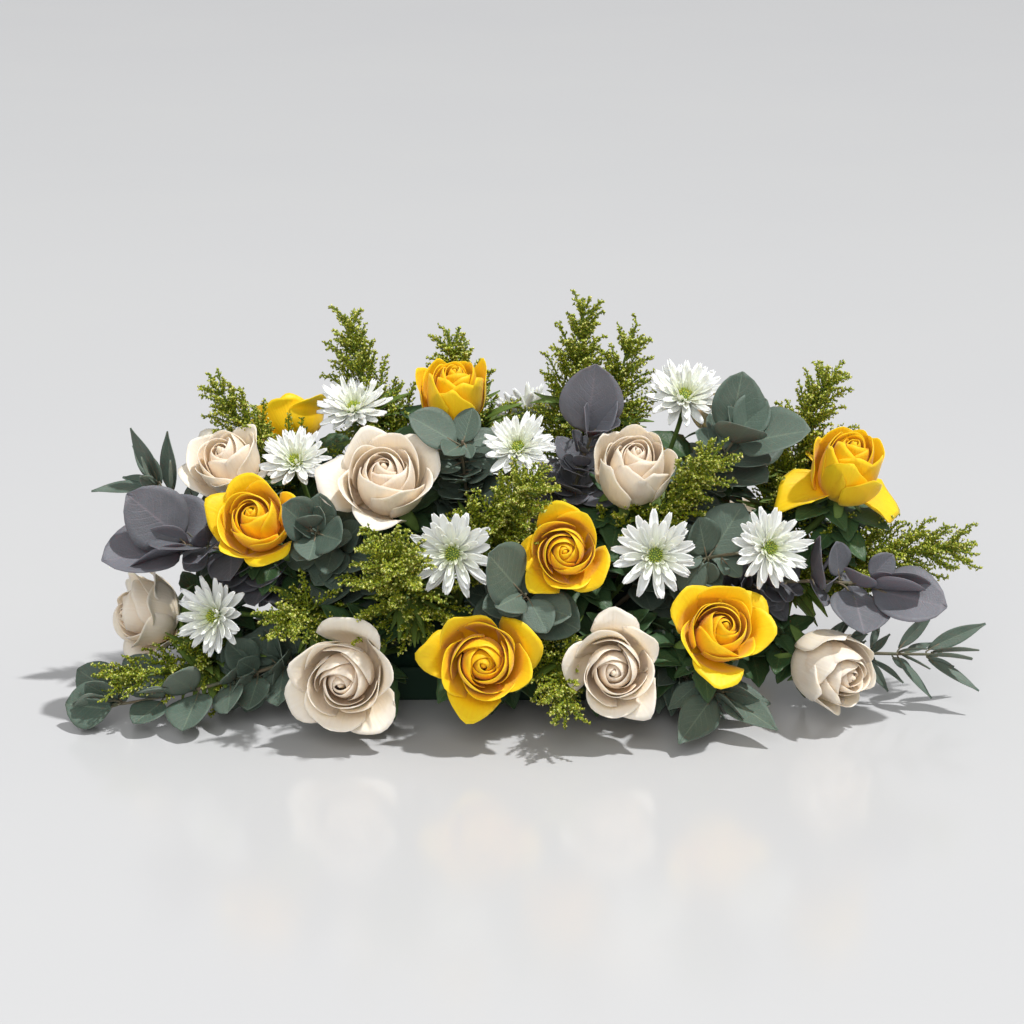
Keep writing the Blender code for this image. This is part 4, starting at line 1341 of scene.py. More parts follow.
@dataclass
class Rose:
    """A cut rose: a wound heart, cupped petals round it, and outer petals that roll back."""

    node: str
    finish: PetalFinish
    slot: str
    shape: Shape
    seed: int
    petals: int = 20
    leaves: int = 7
    across: int = 15
    along: int = 12
    lip_thickness: float = 0.00035
    foot_thickness: float = 0.0010
    dropped: tuple[tuple[float, float], ...] = ((1.45, 0.34), (4.20, 0.40), (6.10, 0.26))
    bloom: Bloom = field(init=False)

    def __post_init__(self) -> None:
        """Reads the solid."""
        self.bloom = Bloom.of(self.node, *BLOOM_SIZES[self.shape])
        self.rng = np.random.default_rng(self.seed)
        self.spines = OPEN_SPINES if self.shape is Shape.OPEN else TALL_SPINES

    def _spine(self, layer: float, shares: Array) -> tuple[Array, Array]:
        """Radius and height along a petal's middle, in shares of the flower's radius.

        Args:
            layer: 0 at the heart, 1 for the outermost petals.
            shares: shares of the petal's length.
        Returns:
            The radii and the heights.
        """
        spot = layer * (len(self.spines) - 1)
        low = min(int(spot), len(self.spines) - 2)
        mix = spot - low
        points = np.array(self.spines[low]) * (1 - mix) + np.array(self.spines[low + 1]) * mix
        t = shares[..., None]
        curve = (
            points[0] * (1 - t) ** 3 + 3 * points[1] * t * (1 - t) ** 2
            + 3 * points[2] * t**2 * (1 - t) + points[3] * t**3
        )
        return curve[..., 0], curve[..., 1]

    def _petal(self, layer: float, angle: float) -> Array:
        """The middle surface of one petal.

        Args:
            layer: 0 at the heart, 1 for the outermost.
            angle: where it stands round the axis.
        Returns:
            Its points, (across, along, 3).
        """
        rng, size = self.rng, self.bloom.radius
        u = np.linspace(-1, 1, self.across)[:, None]
        v = np.linspace(0, 1, self.along)[None, :] ** 0.85
        rounding = 0.26 + 0.10 * layer + rng.uniform(-0.05, 0.05)
        point = rng.uniform(0.03, 0.15) * layer**1.5
        point = point * np.exp(-(((u - rng.uniform(-0.2, 0.2)) / 0.22) ** 2))
        reach = v * (1 - rounding * np.abs(u) ** 2.4 + point)
        r, h = self._spine(layer, reach)
        rise = rng.uniform(-0.07, 0.08)
        r = r * (1 + rng.uniform(-0.05, 0.05)) + 0.03 * rise * v
        h = h + rise * v
        hook = ease((reach - 0.70) / 0.34) * (0.015 + 0.15 * layer**1.3) * rng.uniform(0.6, 1.5)
        roll = 0.35 + 0.85 * np.abs(u) ** 1.5
        r = r + hook * (0.5 + 0.2 * roll)
        h = h - hook * (0.25 + layer * roll)
        tuck = 0.20 - 0.12 * layer + rng.uniform(-0.03, 0.03)
        r = r * (1 + tuck * u * v) + 0.018 * u * ease(layer * 6)
        wave = np.sin(u * rng.uniform(3.0, 5.0) + rng.uniform(0, FULL_TURN)) * v**4
        h = h + 0.045 * wave * layer
        r = r + 0.035 * np.sin(u * rng.uniform(3.5, 6.0) + rng.uniform(0, FULL_TURN)) * v**5 * layer
        fold = np.exp(-((u / 0.14) ** 2)) * v**1.5 * (1 - v**4)
        r = r - 0.018 * fold * layer
        wide = np.interp(layer, (0.0, 0.25, 0.5, 0.75, 1.0), (2.5, 1.75, 1.15, 0.90, 0.72))
        spread = wide * rng.uniform(0.92, 1.08) * (0.50 + 0.50 * ease(v * 1.4))
        theta = angle + u * spread + 0.10 * (1 - layer) * v
        return self.bloom.place(np.maximum(r, 0.012) * size, theta + 0 * r, h * size)

    def _fallen_petal(self, angle: float, droop: float) -> Array:
        """One of the outermost petals that has dropped away from a spent rose.

        Args:
            angle: where it stands round the axis.
            droop: how far its lip hangs, in shares of the flower's radius.
        Returns:
            Its points, (across, along, 3).
        """
        rng, size = self.rng, self.bloom.radius
        u, v = grid_shares(self.across, self.along)
        point = 0.14 * np.exp(-(((u - 0.25) / 0.25) ** 2))
        reach = v * (1 - 0.24 * np.abs(u) ** 2.2 + point)
        r = 0.10 + 1.40 * reach - 0.10 * reach**3
        h = -0.66 + 0.38 * reach - (0.38 + droop) * reach**2.2
        h = h - 0.18 * (1 - u**2) * np.sin(math.pi * v) + 0.16 * u**2 * v**2
        h = h + 0.09 * np.sin(u * 5 + rng.uniform(0, 6)) * v**2
        wide = 0.78 - 0.14 * v + 0.05 * np.sin(v * 5)
        return self.bloom.place(r * size, angle + u * wide, h * size)

    def _head(self, mesher: Mesher) -> None:
        """Adds all petals, from the heart outwards.

        Args:
            mesher: what to add them to.
        """
        turn = self.rng.uniform(0, FULL_TURN)
        top = self.spines[0][-1][1] + 0.02
        heights = np.linspace(-0.4, top, 8)[:, None] * self.bloom.radius
        core = self.bloom.centre + self.bloom.axis * heights
        core_radii = np.array((0.08, 0.10, 0.11, 0.11, 0.105, 0.095, 0.075, 0.035)) * self.bloom.radius
        mesher.tube(core, core_radii, 0, 0.3, 10)
        along = np.linspace(0, 1, self.along)[None, :]
        thick = self.foot_thickness + (self.lip_thickness - self.foot_thickness) * along
        thick = thick + np.zeros((self.across, 1))
        for k in range(self.petals):
            layer = (k / (self.petals - 1)) ** 1.1
            grid = self._petal(layer, turn + k * GOLDEN_ANGLE + self.rng.uniform(-0.16, 0.16))
            mesher.blade(grid[::-1], thick, 0, float(self.rng.uniform(0, 1)), max(0.02, layer))
        if self.shape is Shape.FALLEN:
            for angle, droop in self.dropped:
                grid = self._fallen_petal(angle, droop)
                mesher.blade(grid[::-1], 0.0006, 0, float(self.rng.uniform(0, 1)), 1.0)

    def _calyx(self, mesher: Mesher) -> None:
        """Adds the green hip and its five sepals under the petals.

        Args:
            mesher: what to add them to.
        """
        size = self.bloom.radius
        tall = self.shape is not Shape.OPEN
        low, high = (-1.22, -0.84) if tall else (-1.06, -0.60)
        spots = self.bloom.centre + self.bloom.axis * np.linspace(low, high, 9)[:, None] * size
        swell = np.array((0.08, 0.12, 0.17, 0.19, 0.17, 0.16, 0.20, 0.26, 0.30)) * size
        mesher.tube(spots, swell, 1, 0.6, 14)
        for k in range(5):
            u, v = grid_shares(5, 9)
            out = (0.22 + 0.52 * v - 0.10 * v**2) * size + 0 * u
            drop = (high - 0.06 - 0.02 * v - 0.30 * v**2) * size + 0 * u
            theta = k * 2 * math.pi / 5 + 0.3 + u * 0.42 * (1 - v) ** 0.8 + 0.02 * u
            grid = self.bloom.place(out, theta, drop)
            mesher.blade(grid[::-1], 0.0006, 1, 0.4)

    def _leaflet(self, mesher: Mesher, base: Array, grow: Array, length: float) -> bool:
        """Adds one toothed leaflet if there is room for it.

        Args:
            mesher: where to.
            base: its foot.
            grow: the way it grows.
            length: its length.
        Returns:
            True if it was added.
        """
        side = square_to(grow, np.cross(grow, (0.05, -0.35, 1.0)))
        u, v = grid_shares(7, 10)
        teeth = 1 + 0.06 * np.cos(v * 28) * np.abs(u)
        half = np.maximum(0.34 * length * np.sin(math.pi * v**0.85) ** 0.8 * teeth, 0.0005)
        lift = 0.30 * half * np.abs(u) - 0.30 * length * v**2
        grid = leaf_surface(base, grow, side, v * length, u * half, lift)
        if not is_free(grid[::3, 1::4], 0.80):
            return False
        mesher.blade(grid, 0.0004, 2, float(self.rng.uniform(0, 1)))
        return True

    def _stem_leaves(self, mesher: Mesher, path: Array) -> None:
        """Adds leaves of three leaflets up the stem, wherever there is room.

        Args:
            mesher: what to add them to.
            path: points along the stem.
        """
        way = unit(np.gradient(path, axis=0))
        for share in np.linspace(0.30, 0.86, self.leaves):
            spot = int(share * (len(path) - 1))
            first = square_to(way[spot], np.array((0.3, 0.2, 0.9)))
            for _ in range(2):
                turn = self.rng.uniform(0, FULL_TURN)
                out = first * math.cos(turn) + np.cross(way[spot], first) * math.sin(turn)
                grow = unit(out + way[spot] * self.rng.uniform(0.1, 0.8))
                stalk = self.rng.uniform(0.008, 0.018)
                length = self.rng.uniform(0.024, 0.038)
                foot = path[spot] + grow * stalk
                if not self._leaflet(mesher, foot, grow, length):
                    continue
                mesher.tube(np.linspace(path[spot], foot + grow * 0.002, 4), 0.0007, 1, 0.5, 6)
                across = square_to(grow, np.cross(grow, (0.05, -0.35, 1.0)))
                for hand in (-1, 1):
                    aim = unit(grow * 0.35 + across * hand)
                    self._leaflet(mesher, foot - grow * 0.002, aim, length * 0.8)

    def build(self) -> None:
        """Builds the rose and ties it to its solid."""
        mesher = Mesher()
        self._head(mesher)
        self._calyx(mesher)
        path = smooth_path(self.bloom.stem, 7)
        self._stem_leaves(mesher, path)
        mesher.tube(path, np.linspace(0.0024, 0.0028, len(path)), 1, 0.5, 10)
        finishes = [self.finish.material(), GREEN_STEM.material(), ROSE_LEAF.material()]
        piece = mesher.object(self.node + "_petals", finishes)
        settle(piece, self.node)


@dataclass
class Chrysanthemum:
    """A spray chrysanthemum: whorls of narrow white rays round a green-gold heart."""

    node: str
    seed: int
    whorls: tuple[tuple[int, float, float, float], ...] = (
        (14, 1.02, 0.00, 0.185),
        (13, 0.98, 0.22, 0.180),
        (12, 0.84, 0.46, 0.150),
        (9, 0.58, 0.70, 0.110),
        (10, 0.40, 0.95, 0.075),
    )
    florets: int = 64
    bloom: Bloom = field(init=False)

    def __post_init__(self) -> None:
        """Reads the solid."""
        self.bloom = Bloom.of(self.node, *CHRYSANTHEMUM_SIZES)
        self.rng = np.random.default_rng(self.seed)

    def _ray(self, angle: float, reach: float, rise: float, wide: float) -> Array:
        """The middle surface of one ray.

        Args:
            angle: where it stands round the heart.
            reach: its length in shares of the flower's radius.
            rise: its slope above the flower's face.
            wide: its width in the same shares.
        Returns:
            Its points, (across, along, 3).
        """
        size = self.bloom.radius
        u, v = grid_shares(5, 9)
        tip = np.sqrt(np.clip(1 - (v * 0.985) ** 3.6, 0, 1))
        half = wide * size * (0.34 + 0.66 * ease(v * 1.5)) * tip * 0.66
        notch = 0.012 * (1 - np.abs(u)) * ease((v - 0.8) * 5)
        out = (0.10 + (reach - 0.10) * (v - notch) * math.cos(rise)) * size
        side = u * half
        curl = self.rng.uniform(-0.08, 0.12)
        cup = 0.10 * v**2 + curl * v**3 + 0.075 * u**2
        up = ((reach - 0.1) * v * math.sin(rise) - 0.05 + cup) * size
        up = up + 0.02 * size * math.sin(angle * 7)
        radius = np.hypot(out, side)
        theta = angle + np.arctan2(side, out) + self.rng.uniform(-0.06, 0.06) * v
        return self.bloom.place(radius, theta, up)

    def _rays(self, mesher: Mesher) -> None:
        """Adds every whorl of rays.

        Args:
            mesher: what to add them to.
        """
        for number, (count, reach, rise, wide) in enumerate(self.whorls):
            for k in range(count):
                angle = (k + 0.5 * (number % 2)) * 2 * math.pi / count + self.rng.uniform(-0.11, 0.11)
                grid = self._ray(
                    angle,
                    reach * self.rng.uniform(0.86, 1.04),
                    rise + self.rng.uniform(-0.12, 0.14),
                    wide * self.rng.uniform(0.85, 1.1),
                )
                layer = 1.0 - 0.2 * number
                mesher.blade(grid[::-1], 0.0004, 0, float(self.rng.uniform(0, 1)), max(0.05, layer))

    def _heart(self) -> Object:
        """The close spiral of florets in the middle, as its own piece."""
        size = self.bloom.radius
        share = np.sqrt((np.arange(self.florets) + 0.5) / self.florets)
        angle = np.arange(self.florets) * GOLDEN_ANGLE
        spots = self.bloom.place(share * 0.20 * size, angle, (0.10 - 0.09 * share**2) * size)
        side = np.array([square_to(self.bloom.axis, spot - self.bloom.centre) for spot in spots])
        away = unit(self.bloom.axis + side * (0.7 * share[:, None]))
        mesh = bpy.data.meshes.new("floret_places")
        mesh.from_pydata(spots.tolist(), [], [])
        normals = mesh.attributes.new("away", "FLOAT_VECTOR", "POINT")
        normals.data.foreach_set("vector", away.astype(np.float32).ravel())
        return grown(self.node + "_heart", mesh, heart_tree(), {"Seed": self.seed})

    def build(self) -> None:
        """Builds the flower and ties it to its solid."""
        mesher = Mesher()
        self._rays(mesher)
        size = self.bloom.radius
        spots = self.bloom.centre + self.bloom.axis * np.linspace(-0.52, 0.08, 8)[:, None] * size
        swell = np.array((0.07, 0.14, 0.24, 0.31, 0.33, 0.30, 0.24, 0.18)) * size
        mesher.tube(spots, swell, 1, 0.5, 14)
        path = smooth_path(self.bloom.stem, 7)
        mesher.tube(path, 0.0017, 1, 0.5, 9)
        piece = mesher.object(self.node + "_rays", [WHITE_RAY.material(), GREEN_STEM.material()])
        settle(piece, self.node)
        settle(self._heart(), self.node)


# ---------------------------------------------------------------------------- foliage


def between(
    stem: Array,
    limbs: list[Limb],
    rng: np.random.Generator,
    copies: int,
    sizes: tuple[float, float],
    share: float,
) -> list[Limb]:
    """More leaves or side shoots, between those of the solid, wherever there is room.

    Args:
        stem: middles of the stem's rings.
        limbs: those of the solid.
        rng: where the draws come from.
        copies: how many to try for each one.
        sizes: smallest and largest size, in shares of the one each is a copy of.
        share: how much of each flower head's radius to keep out of.
    Returns:
        The new ones.
    """
    made = []
    for limb in limbs:
        spot = int(np.argmin(np.linalg.norm(stem - limb.base, axis=1)))
        ahead = stem[min(spot + 1, len(stem) - 1)] - stem[max(spot - 1, 0)]
        axis = unit(ahead)
        for number in range(copies):
            side = 1 if number % 2 else -1
            turn = side * rng.uniform(0.8, 1.7)
            move = rng.uniform(-0.3, 0.35)
            size = rng.uniform(*sizes)
            copy = limb.turned(axis, turn, ahead * move, size)
            points = np.vstack([copy.start, (copy.start + copy.tip) / 2, copy.tip] + copy.sections[1:-1])
            if is_free(points, share):
                made.append(copy)
    return made


@dataclass
class Eucalyptus:
    """A shoot of eucalyptus: a thin stem with pairs of flat, waxy leaves."""

    node: str
    finish: LeafFinish
    slot: str
    seed: int
    across: int = 9
    along: int = 11
    stem: Array = field(init=False)
    limbs: list[Limb] = field(init=False)

    def __post_init__(self) -> None:
        """Reads the solid."""
        self.stem, self.limbs = Solid(self.node).shoot()
        self.rng = np.random.default_rng(self.seed)

    def _leaf(self, limb: Limb) -> tuple[Array, Array]:
        """The middle surface of one leaf and the foot of its blade.

        Args:
            limb: the leaf of the solid.
        Returns:
            Its points, (across, along, 3), and the start of the blade.
        """
        start, tip = limb.start, limb.tip
        length = float(np.linalg.norm(tip - start))
        grow = (tip - start) / length
        corners = limb.sections[1]
        _, _, ways = np.linalg.svd(corners - corners.mean(0))
        side = square_to(grow, ways[0])
        width = float(np.ptp(corners @ side)) / 0.94
        outward = unit(np.array((start[0] * 0.4, start[1], 0.10))) + np.array((0.0, -0.35, 0.35))
        if float(np.dot(np.cross(side, grow), outward)) < 0:
            side = -side
        u, v = grid_shares(self.across, self.along)
        slim = width / length < 0.55
        power, peak = (0.95, 0.80) if slim else (0.62, 0.92)
        half = width / 2 * np.sin(math.pi * np.clip(v, 0, 1) ** peak) ** power
        half = np.maximum(half, 0.0007)
        rng = self.rng
        cup = rng.uniform(0.05, 0.14) * width
        droop = rng.uniform(-0.02, 0.09) * length
        twist = rng.uniform(-0.25, 0.25)
        lift = cup * u**2 * np.sin(math.pi * v) - droop * v**2
        lift = lift - 0.0006 * np.exp(-((u / 0.12) ** 2)) + twist * u * half * v
        lift = lift + 0.012 * width * np.sin(v * 9 + rng.uniform(0, FULL_TURN)) * np.abs(u) ** 2
        return leaf_surface(start, grow, side, v * length, u * half, lift), start

    def build(self) -> None:
        """Builds the shoot and ties it to its solid."""
        mesher = Mesher()
        path = smooth_path(self.stem, 4)
        end = path[-1] + unit(path[-1] - path[-2]) * 0.004
        path = np.vstack([path, end])
        mesher.tube(path, np.linspace(0.0017, 0.0009, len(path)), 1, 0.5, 8)
        leaves = [limb for limb in self.limbs if len(limb.sections) > 2]
        for limb in leaves + between(self.stem, leaves, self.rng, 2, (0.55, 0.85), 0.85):
            grid, start = self._leaf(limb)
            mesher.blade(grid, 0.0005, 0, float(self.rng.uniform(0, 1)))
            petiole = np.array([limb.base, (limb.base + start) / 2, grid[self.across // 2, 2]])
            mesher.tube(smooth_path(petiole, 3), 0.0006, 1, 0.5, 6)
        piece = mesher.object(self.node + "_leaves", [self.finish.material(), BROWN_STEM.material()])
        settle(piece, self.node)


@dataclass
class Goldenrod:
    """A shoot of goldenrod: side shoots that arch out and are packed with buds."""

    node: str
    seed: int
    twig_step: float = 0.0024
    twig_reach: float = 0.0125
    overhang: float = 0.55
    leaf_chance: float = 0.15
    stem: Array = field(init=False)
    limbs: list[Limb] = field(init=False)

    def __post_init__(self) -> None:
        """Reads the solid."""
        self.stem, limbs = Solid(self.node).shoot()
        self.rng = np.random.default_rng(self.seed)
        shoots = [limb for limb in limbs if len(limb.sections) == 2]
        self.limbs = shoots + between(self.stem, shoots, self.rng, 2, (0.75, 1.0), 0.80)

    def _arch(self, limb: Limb) -> Array:
        """Points along the middle of a side shoot, whose end arches over."""
        reach = limb.tip - limb.start
        flat = reach * np.array((1.0, 1.0, 0.25))
        end = limb.tip + flat * self.overhang
        return smooth_path(np.array([limb.base, limb.start, limb.tip, end]), 4)

    def _twigs(self, path: Array, first: float, reach: float, lines: list[Array]) -> None:
        """Adds small twigs to both sides of a path, shorter and shorter towards its tip.

        Args:
            path: the points of the shoot that bears them.
            first: share of the path that stays bare.
            reach: length of the lowest twigs.
            lines: where the twigs' own points go.
        """
        gaps = np.linalg.norm(np.diff(path, axis=0), axis=1)
        run = np.concatenate([[0], np.cumsum(gaps)])
        total = run[-1]
        way = unit(np.gradient(path, axis=0))
        spot, number = first * total, 0
        while spot < total * 0.98:
            here = np.array([np.interp(spot, run, path[:, i]) for i in range(3)])
            along = unit(np.array([np.interp(spot, run, way[:, i]) for i in range(3)]))
            flat = (1.0, 0.25, 0.0) if abs(along[0]) < 0.75 else (0.0, -0.3, 1.0)
            side = square_to(along, np.array(flat))
            up = np.cross(side, along)
            turn = (math.pi if number % 2 else 0.0) + self.rng.uniform(-1.0, 1.0)
            out = side * math.cos(turn) + up * math.sin(turn) * 0.9
            share = 1 - spot / total
            long = reach * (0.16 + 0.84 * share) * self.rng.uniform(0.75, 1.1)
            aim = unit(out + along * self.rng.uniform(0.5, 0.9))
            bend = unit(aim + along * 0.6 + np.array((0.0, 0.0, 0.15)))
            middle = here + aim * long * 0.5
            lines.append(np.array([here, middle, middle + bend * long * 0.5]))
            spot += self.twig_step * self.rng.uniform(0.8, 1.2)
            number += 1

    def _net(self) -> Mesh:
        """Every twig that bears buds, as a mesh of edges whose outer ends are marked as tips."""
        lines: list[Array] = []
        for limb in self.limbs:
            path = self._arch(limb)
            lines.append(path[2:])
            reach = 0.30 * float(np.linalg.norm(path[-1] - path[0]))
            self._twigs(path, 0.12, min(self.twig_reach, reach), lines)
        top = smooth_path(self.stem[-4:], 6)
        end = top[-1] + unit(top[-1] - top[-3]) * 0.006
        top = np.vstack([top, end])
        lines.append(top)
        self._twigs(top, 0.2, self.twig_reach * 0.6, lines)
        points, edges, tips = [], [], []
        for line in lines:
            start = len(points)
            points += line.tolist()
            edges += [(start + k, start + k + 1) for k in range(len(line) - 1)]
            tips += [False] * (len(line) - 1) + [True]
        mesh = bpy.data.meshes.new(self.node + "_net")
        mesh.from_pydata(points, edges, [])
        mesh.attributes.new("tip", "BOOLEAN", "POINT").data.foreach_set("value", tips)
        return mesh

    def _lance(self, mesher: Mesher, base: Array, grow: Array, side: Array, length: float) -> None:
        """Adds one narrow leaf."""
        u, v = grid_shares(3, 7)
        half = np.maximum(length * 0.11 * np.sin(math.pi * v**0.8), 0.0004)
        lift = 0.25 * half * np.abs(u) - 0.22 * length * v**2
        grid = leaf_surface(base, grow, side, v * length, u * half, lift)
        mesher.blade(grid, 0.0004, 0, float(self.rng.uniform(0, 1)))

    def _stem_leaves(self, mesher: Mesher, path: Array) -> None:
        """Adds narrow leaves up the bare part of the stem, wherever there is room.

        Args:
            mesher: what to add them to.
            path: points along the stem.
        """
        way = unit(np.gradient(path, axis=0))
        for spot in range(2, int(len(path) * 0.5)):
            for _ in range(2):
                turn = self.rng.uniform(0, FULL_TURN)
                first = square_to(way[spot], np.array((0.3, 0.2, 0.9)))
                out = first * math.cos(turn) + np.cross(way[spot], first) * math.sin(turn)
                grow = unit(out + way[spot] * self.rng.uniform(0.2, 0.7))
                length = self.rng.uniform(0.022, 0.038)
                ends_at = path[spot] + grow * length * np.array((0.5, 0.75, 1.0))[:, None]
                ends_at[:, 2] -= 0.22 * length * np.array((0.25, 0.56, 1.0))
                if is_free(ends_at, 0.85):
                    side = square_to(grow, np.cross(grow, (0.0, -0.4, 1.0)))
                    self._lance(mesher, path[spot], grow, side, length)

    def build(self) -> None:
        """Builds the shoot and ties it to its solid."""
        mesher = Mesher()
        path = smooth_path(self.stem, 4)
        mesher.tube(path, np.linspace(0.0016, 0.0007, len(path)), 1, 0.5, 8)
        for limb in self.limbs:
            arch = self._arch(limb)
            mesher.tube(arch, np.linspace(0.0008, 0.0003, len(arch)), 1, 0.5, 4)
            if self.rng.uniform() > self.leaf_chance:
                continue
            grow = unit(unit(limb.start - limb.base) + np.array((0.0, 0.0, -0.15)))
            side = square_to(grow, np.cross(grow, (0.0, -0.4, 1.0)))
            length = min(0.014, 0.4 * float(np.linalg.norm(limb.tip - limb.base)))
            self._lance(mesher, limb.base, grow, side, length)
        self._stem_leaves(mesher, path)
        stems = mesher.object(self.node + "_stems", [LANCE_LEAF.material(), GOLD_STEM.material()])
        settle(stems, self.node)
        plume = grown(self.node + "_buds", self._net(), plume_tree(), {"Seed": self.seed})
        settle(plume, self.node)


# ---------------------------------------------------------------------------- holder


@dataclass
class Tray:
    """The moulded tray, with a rolled rim and softened corners."""

    node: str = "tray"
    corner: float = 0.0045
    wall: float = 0.0018
    corner_steps: int = 8

    def _loop(self, half_x: float, half_y: float, corner: float, height: float) -> Array:
        """Points round a rectangle with rounded corners.

        Args:
            half_x: half its length.
            half_y: half its width.
            corner: radius of its corners.
            height: its height.
        Returns:
            The points, in order.
        """
        points = []
        for quadrant, (sx, sy) in enumerate(((1, 1), (-1, 1), (-1, -1), (1, -1))):
            for k in range(self.corner_steps + 1):
                angle = math.pi / 2 * (quadrant + k / self.corner_steps)
                points.append((
                    sx * (half_x - corner) + corner * math.cos(angle),
                    sy * (half_y - corner) + corner * math.sin(angle),
                    height,
                ))
        return np.array(points)

    def build(self) -> None:
        """Builds the tray and ties it to its solid."""
        _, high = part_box(self.node)
        x, y, top = high.x, high.y, high.z
        wall = self.wall
        steps = (
            (0.010, 0.0), (0.0032, 0.0), (0.0022, 0.0008), (0.0016, 0.0030), (0.0008, top - 0.0040),
            (0.0002, top - 0.0028), (0.0, top - 0.0014), (0.0004, top - 0.0003), (0.0011, top),
            (wall, top - 0.0004), (wall + 0.0002, top - 0.002), (wall + 0.0008, 0.0052),
            (wall + 0.0016, 0.0034), (wall + 0.0036, 0.0026), (0.012, 0.0025),
        )
        loops = []
        for inset, height in steps:
            corner = max(0.002, self.corner - inset * 0.8)
            loops.append(self._loop(x - inset, y - inset, corner, height))
        size = len(loops[0])
        points = np.vstack(loops)
        faces: list[tuple[int, ...]] = []
        for k in range(len(loops) - 1):
            for i in range(size):
                j = (i + 1) % size
                faces.append((k * size + i, k * size + j, (k + 1) * size + j, (k + 1) * size + i))
        faces.append(tuple(range(size))[::-1])
        faces.append(tuple(range((len(loops) - 1) * size, len(loops) * size)))
        mesher = Mesher()
        mesher.add(points, faces, 0, np.array((0.5, 0.0, 0.5)), np.array((0.5, 0.5)))
        piece = mesher.object("tray_shell", [TRAY_SKIN.material()])
        settle(piece, self.node)


@dataclass
class FoamBrick:
    """The brick of wet foam, with cut edges and a crumbly face, coloured near-black green as painted
    shade.
    """

    node: str = "foam"
    cell: float = 0.0050
    crumble: float = 0.0006
    edge: float = 0.005
    seed: int = 77

    def _skin(self, counts: list[int]) -> tuple[Array, list[tuple[int, ...]]]:
        """The grid on the six sides of the brick.

        Args:
            counts: cells along x, y and z.
        Returns:
            Its corners in cells, and the corner numbers of its faces.
        """
        forward = ((0, 0), (1, 0), (1, 1), (0, 1))
        backward = ((0, 0), (0, 1), (1, 1), (1, 0))
        sides = (
            (0, 1, ((counts[2], forward), (0, backward))),
            (0, 2, ((0, forward), (counts[1], backward))),
            (1, 2, ((0, backward), (counts[0], forward))),
        )
        numbers: dict[tuple[int, ...], int] = {}
        faces = []
        for a, b, levels in sides:
            for i, j in itertools.product(range(counts[a]), range(counts[b])):
                for level, turn in levels:
                    face = []
                    for more_a, more_b in turn:
                        cell = [level] * 3
                        cell[a], cell[b] = i + more_a, j + more_b
                        face.append(numbers.setdefault(tuple(cell), len(numbers)))
                    faces.append(tuple(face))
        return np.array(list(numbers)), faces

    def build(self) -> None:
        """Builds the brick and ties it to its solid."""
        low, high = (np.array(corner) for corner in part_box(self.node))
        size = high - low
        counts = [max(2, round(float(side) / self.cell)) for side in size]
        cells, faces = self._skin(counts)
        points = low + cells / np.array(counts) * size
        inner = np.clip(points, low + self.edge, high - self.edge)
        inner[:, 2] = np.clip(points[:, 2], low[2], high[2] - self.edge)
        off = points - inner
        reach = np.linalg.norm(off, axis=1, keepdims=True)
        curved = inner + off / np.maximum(reach, 1e-9) * self.edge
        rounded = np.where(reach > self.edge, curved, points)
        inward = unit((low + high) / 2 - rounded)
        rng = np.random.default_rng(self.seed)
        points = rounded + inward * rng.uniform(0, self.crumble, (len(rounded), 1))
        mesher = Mesher()
        mesher.add(points, faces, 0, np.array((0.5, 0.0, 0.5)), np.array((0.5, 0.5)))
        piece = mesher.object("foam_brick", [SHADED_FOAM.material()])
        settle(piece, self.node)


# ---------------------------------------------------------------------------- studio


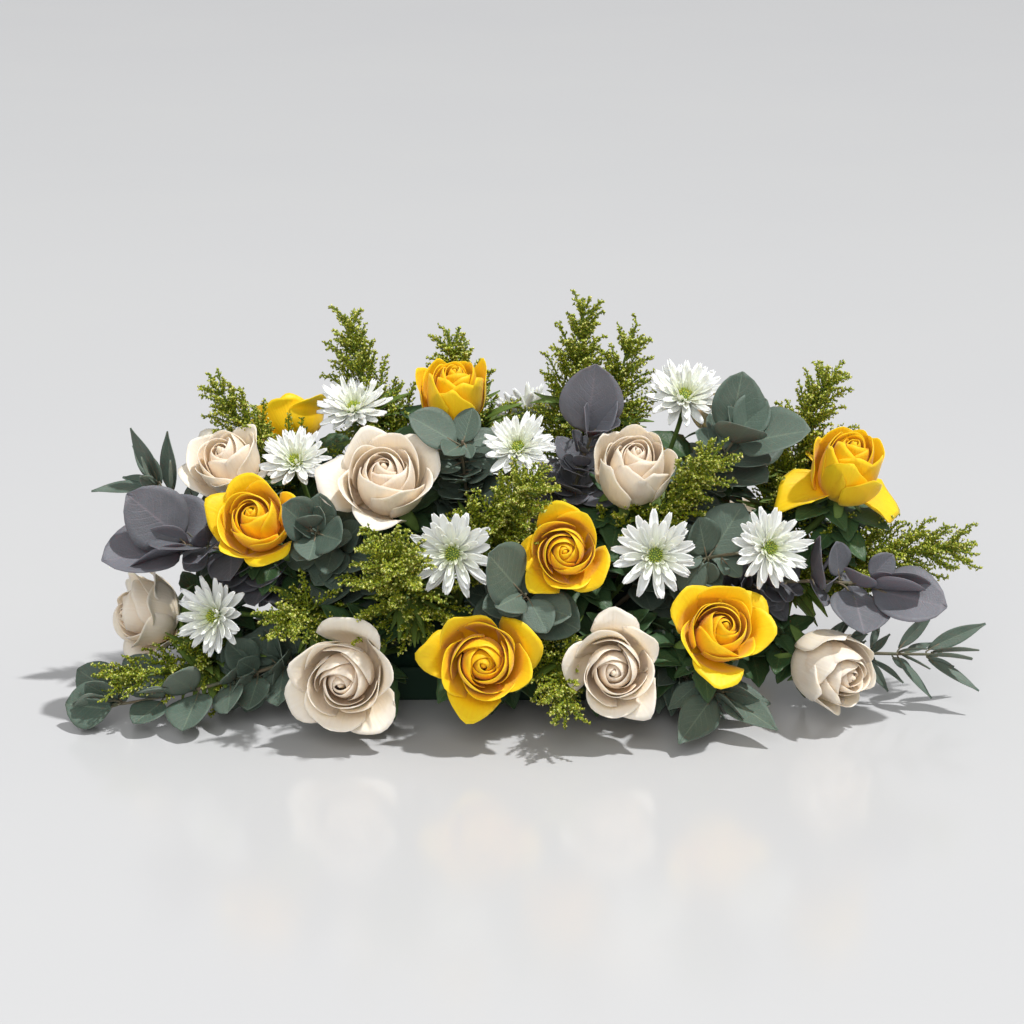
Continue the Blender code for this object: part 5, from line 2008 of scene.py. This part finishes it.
@dataclass
class Studio:
    """A pale floor, soft lights and the camera."""

    distance: float = 1.9
    rise: float = 17.0
    aim: tuple[float, float, float] = (0.0, 0.0, 0.125)
    width: float = 0.737
    hard_light: float = 10.0

    def _sun(self, name: str, source: Direction, softness: float, strength: float) -> None:
        """Adds a far light. Only a hard one shows in reflections.

        Args:
            name: its name.
            source: the direction that it comes from.
            softness: how wide it looks, in degrees.
            strength: its strength.
        """
        data = bpy.data.lights.new(name, "SUN")
        data.angle = math.radians(softness)
        data.energy = strength
        lamp = bpy.data.objects.new(name, data)
        lamp.location = Vector(source) * 2
        lamp.rotation_euler = Vector(source).to_track_quat("Z", "Y").to_euler()
        lamp.visible_glossy = softness < self.hard_light
        bpy.context.scene.collection.objects.link(lamp)

    def _floor(self) -> None:
        """Adds the floor."""
        mesh = bpy.data.meshes.new("floor")
        mesh.from_pydata([(-15, -15, 0), (15, -15, 0), (15, 15, 0), (-15, 15, 0)], [], [(0, 1, 2, 3)])
        floor = bpy.data.objects.new("floor", mesh)
        bpy.context.scene.collection.objects.link(floor)
        shading = Shading("pale_floor")
        patch = shading.group(mottle_group(), Scale=2.0, Low=0.3, High=0.7)
        shading.colour(shading.mix(patch.outputs["Mask"], (0.525, 0.525, 0.53), (0.535, 0.535, 0.535)))
        shading.set(Roughness=0.16, Specular_IOR_Level=0.45)
        mesh.materials.append(shading.material)

    def build(self) -> None:
        """Sets up the floor, lights and camera."""
        self._floor()
        scene = bpy.context.scene
        world = bpy.data.worlds.new("soft_room")
        world.use_nodes = True
        world.node_tree.nodes["Background"].inputs["Color"].default_value = (0.97, 0.98, 1.0, 1.0)
        world.node_tree.nodes["Background"].inputs["Strength"].default_value = 0.40
        scene.world = world
        self._sun("key", (0.42, -0.12, 1.0), 2.5, 3.3)
        self._sun("front_fill", (-0.15, -1.0, 0.65), 40.0, 1.4)
        scene.view_settings.view_transform = "Standard"
        rise = math.radians(self.rise)
        back = Vector((0.0, -math.cos(rise), math.sin(rise)))
        data = bpy.data.cameras.new("camera")
        data.sensor_width = 36.0
        data.lens = 36.0 * self.distance / self.width
        camera = bpy.data.objects.new("camera", data)
        camera.location = Vector(self.aim) + back * self.distance
        camera.rotation_euler = (-back).to_track_quat("-Z", "Y").to_euler()
        scene.collection.objects.link(camera)
        scene.camera = camera


def main() -> None:
    """Builds the holder, the flowers and the foliage, then the studio."""
    slots = {row["node"]: row["material_slot"] for row in frame["record"]["subparts"]}
    Tray().build()
    FoamBrick().build()
    for number, node in enumerate(sorted(frame["nodes"])):
        seed = 100 + number
        if "_rose_" in node:
            finish = YELLOW_PETAL if node.startswith("yellow") else CREAM_PETAL
            Rose(node, finish, slots[node], rose_shape(node), seed).build()
        elif node.startswith("chrysanthemum"):
            Chrysanthemum(node, seed).build()
        elif node.startswith("eucalyptus"):
            finish = PLUM_LEAF if slots[node] == "leaf_plum" else SILVER_LEAF
            Eucalyptus(node, finish, slots[node], seed).build()
        elif node.startswith("goldenrod"):
            Goldenrod(node, seed).build()
    Studio().build()


if __name__ == "__main__":
    main()
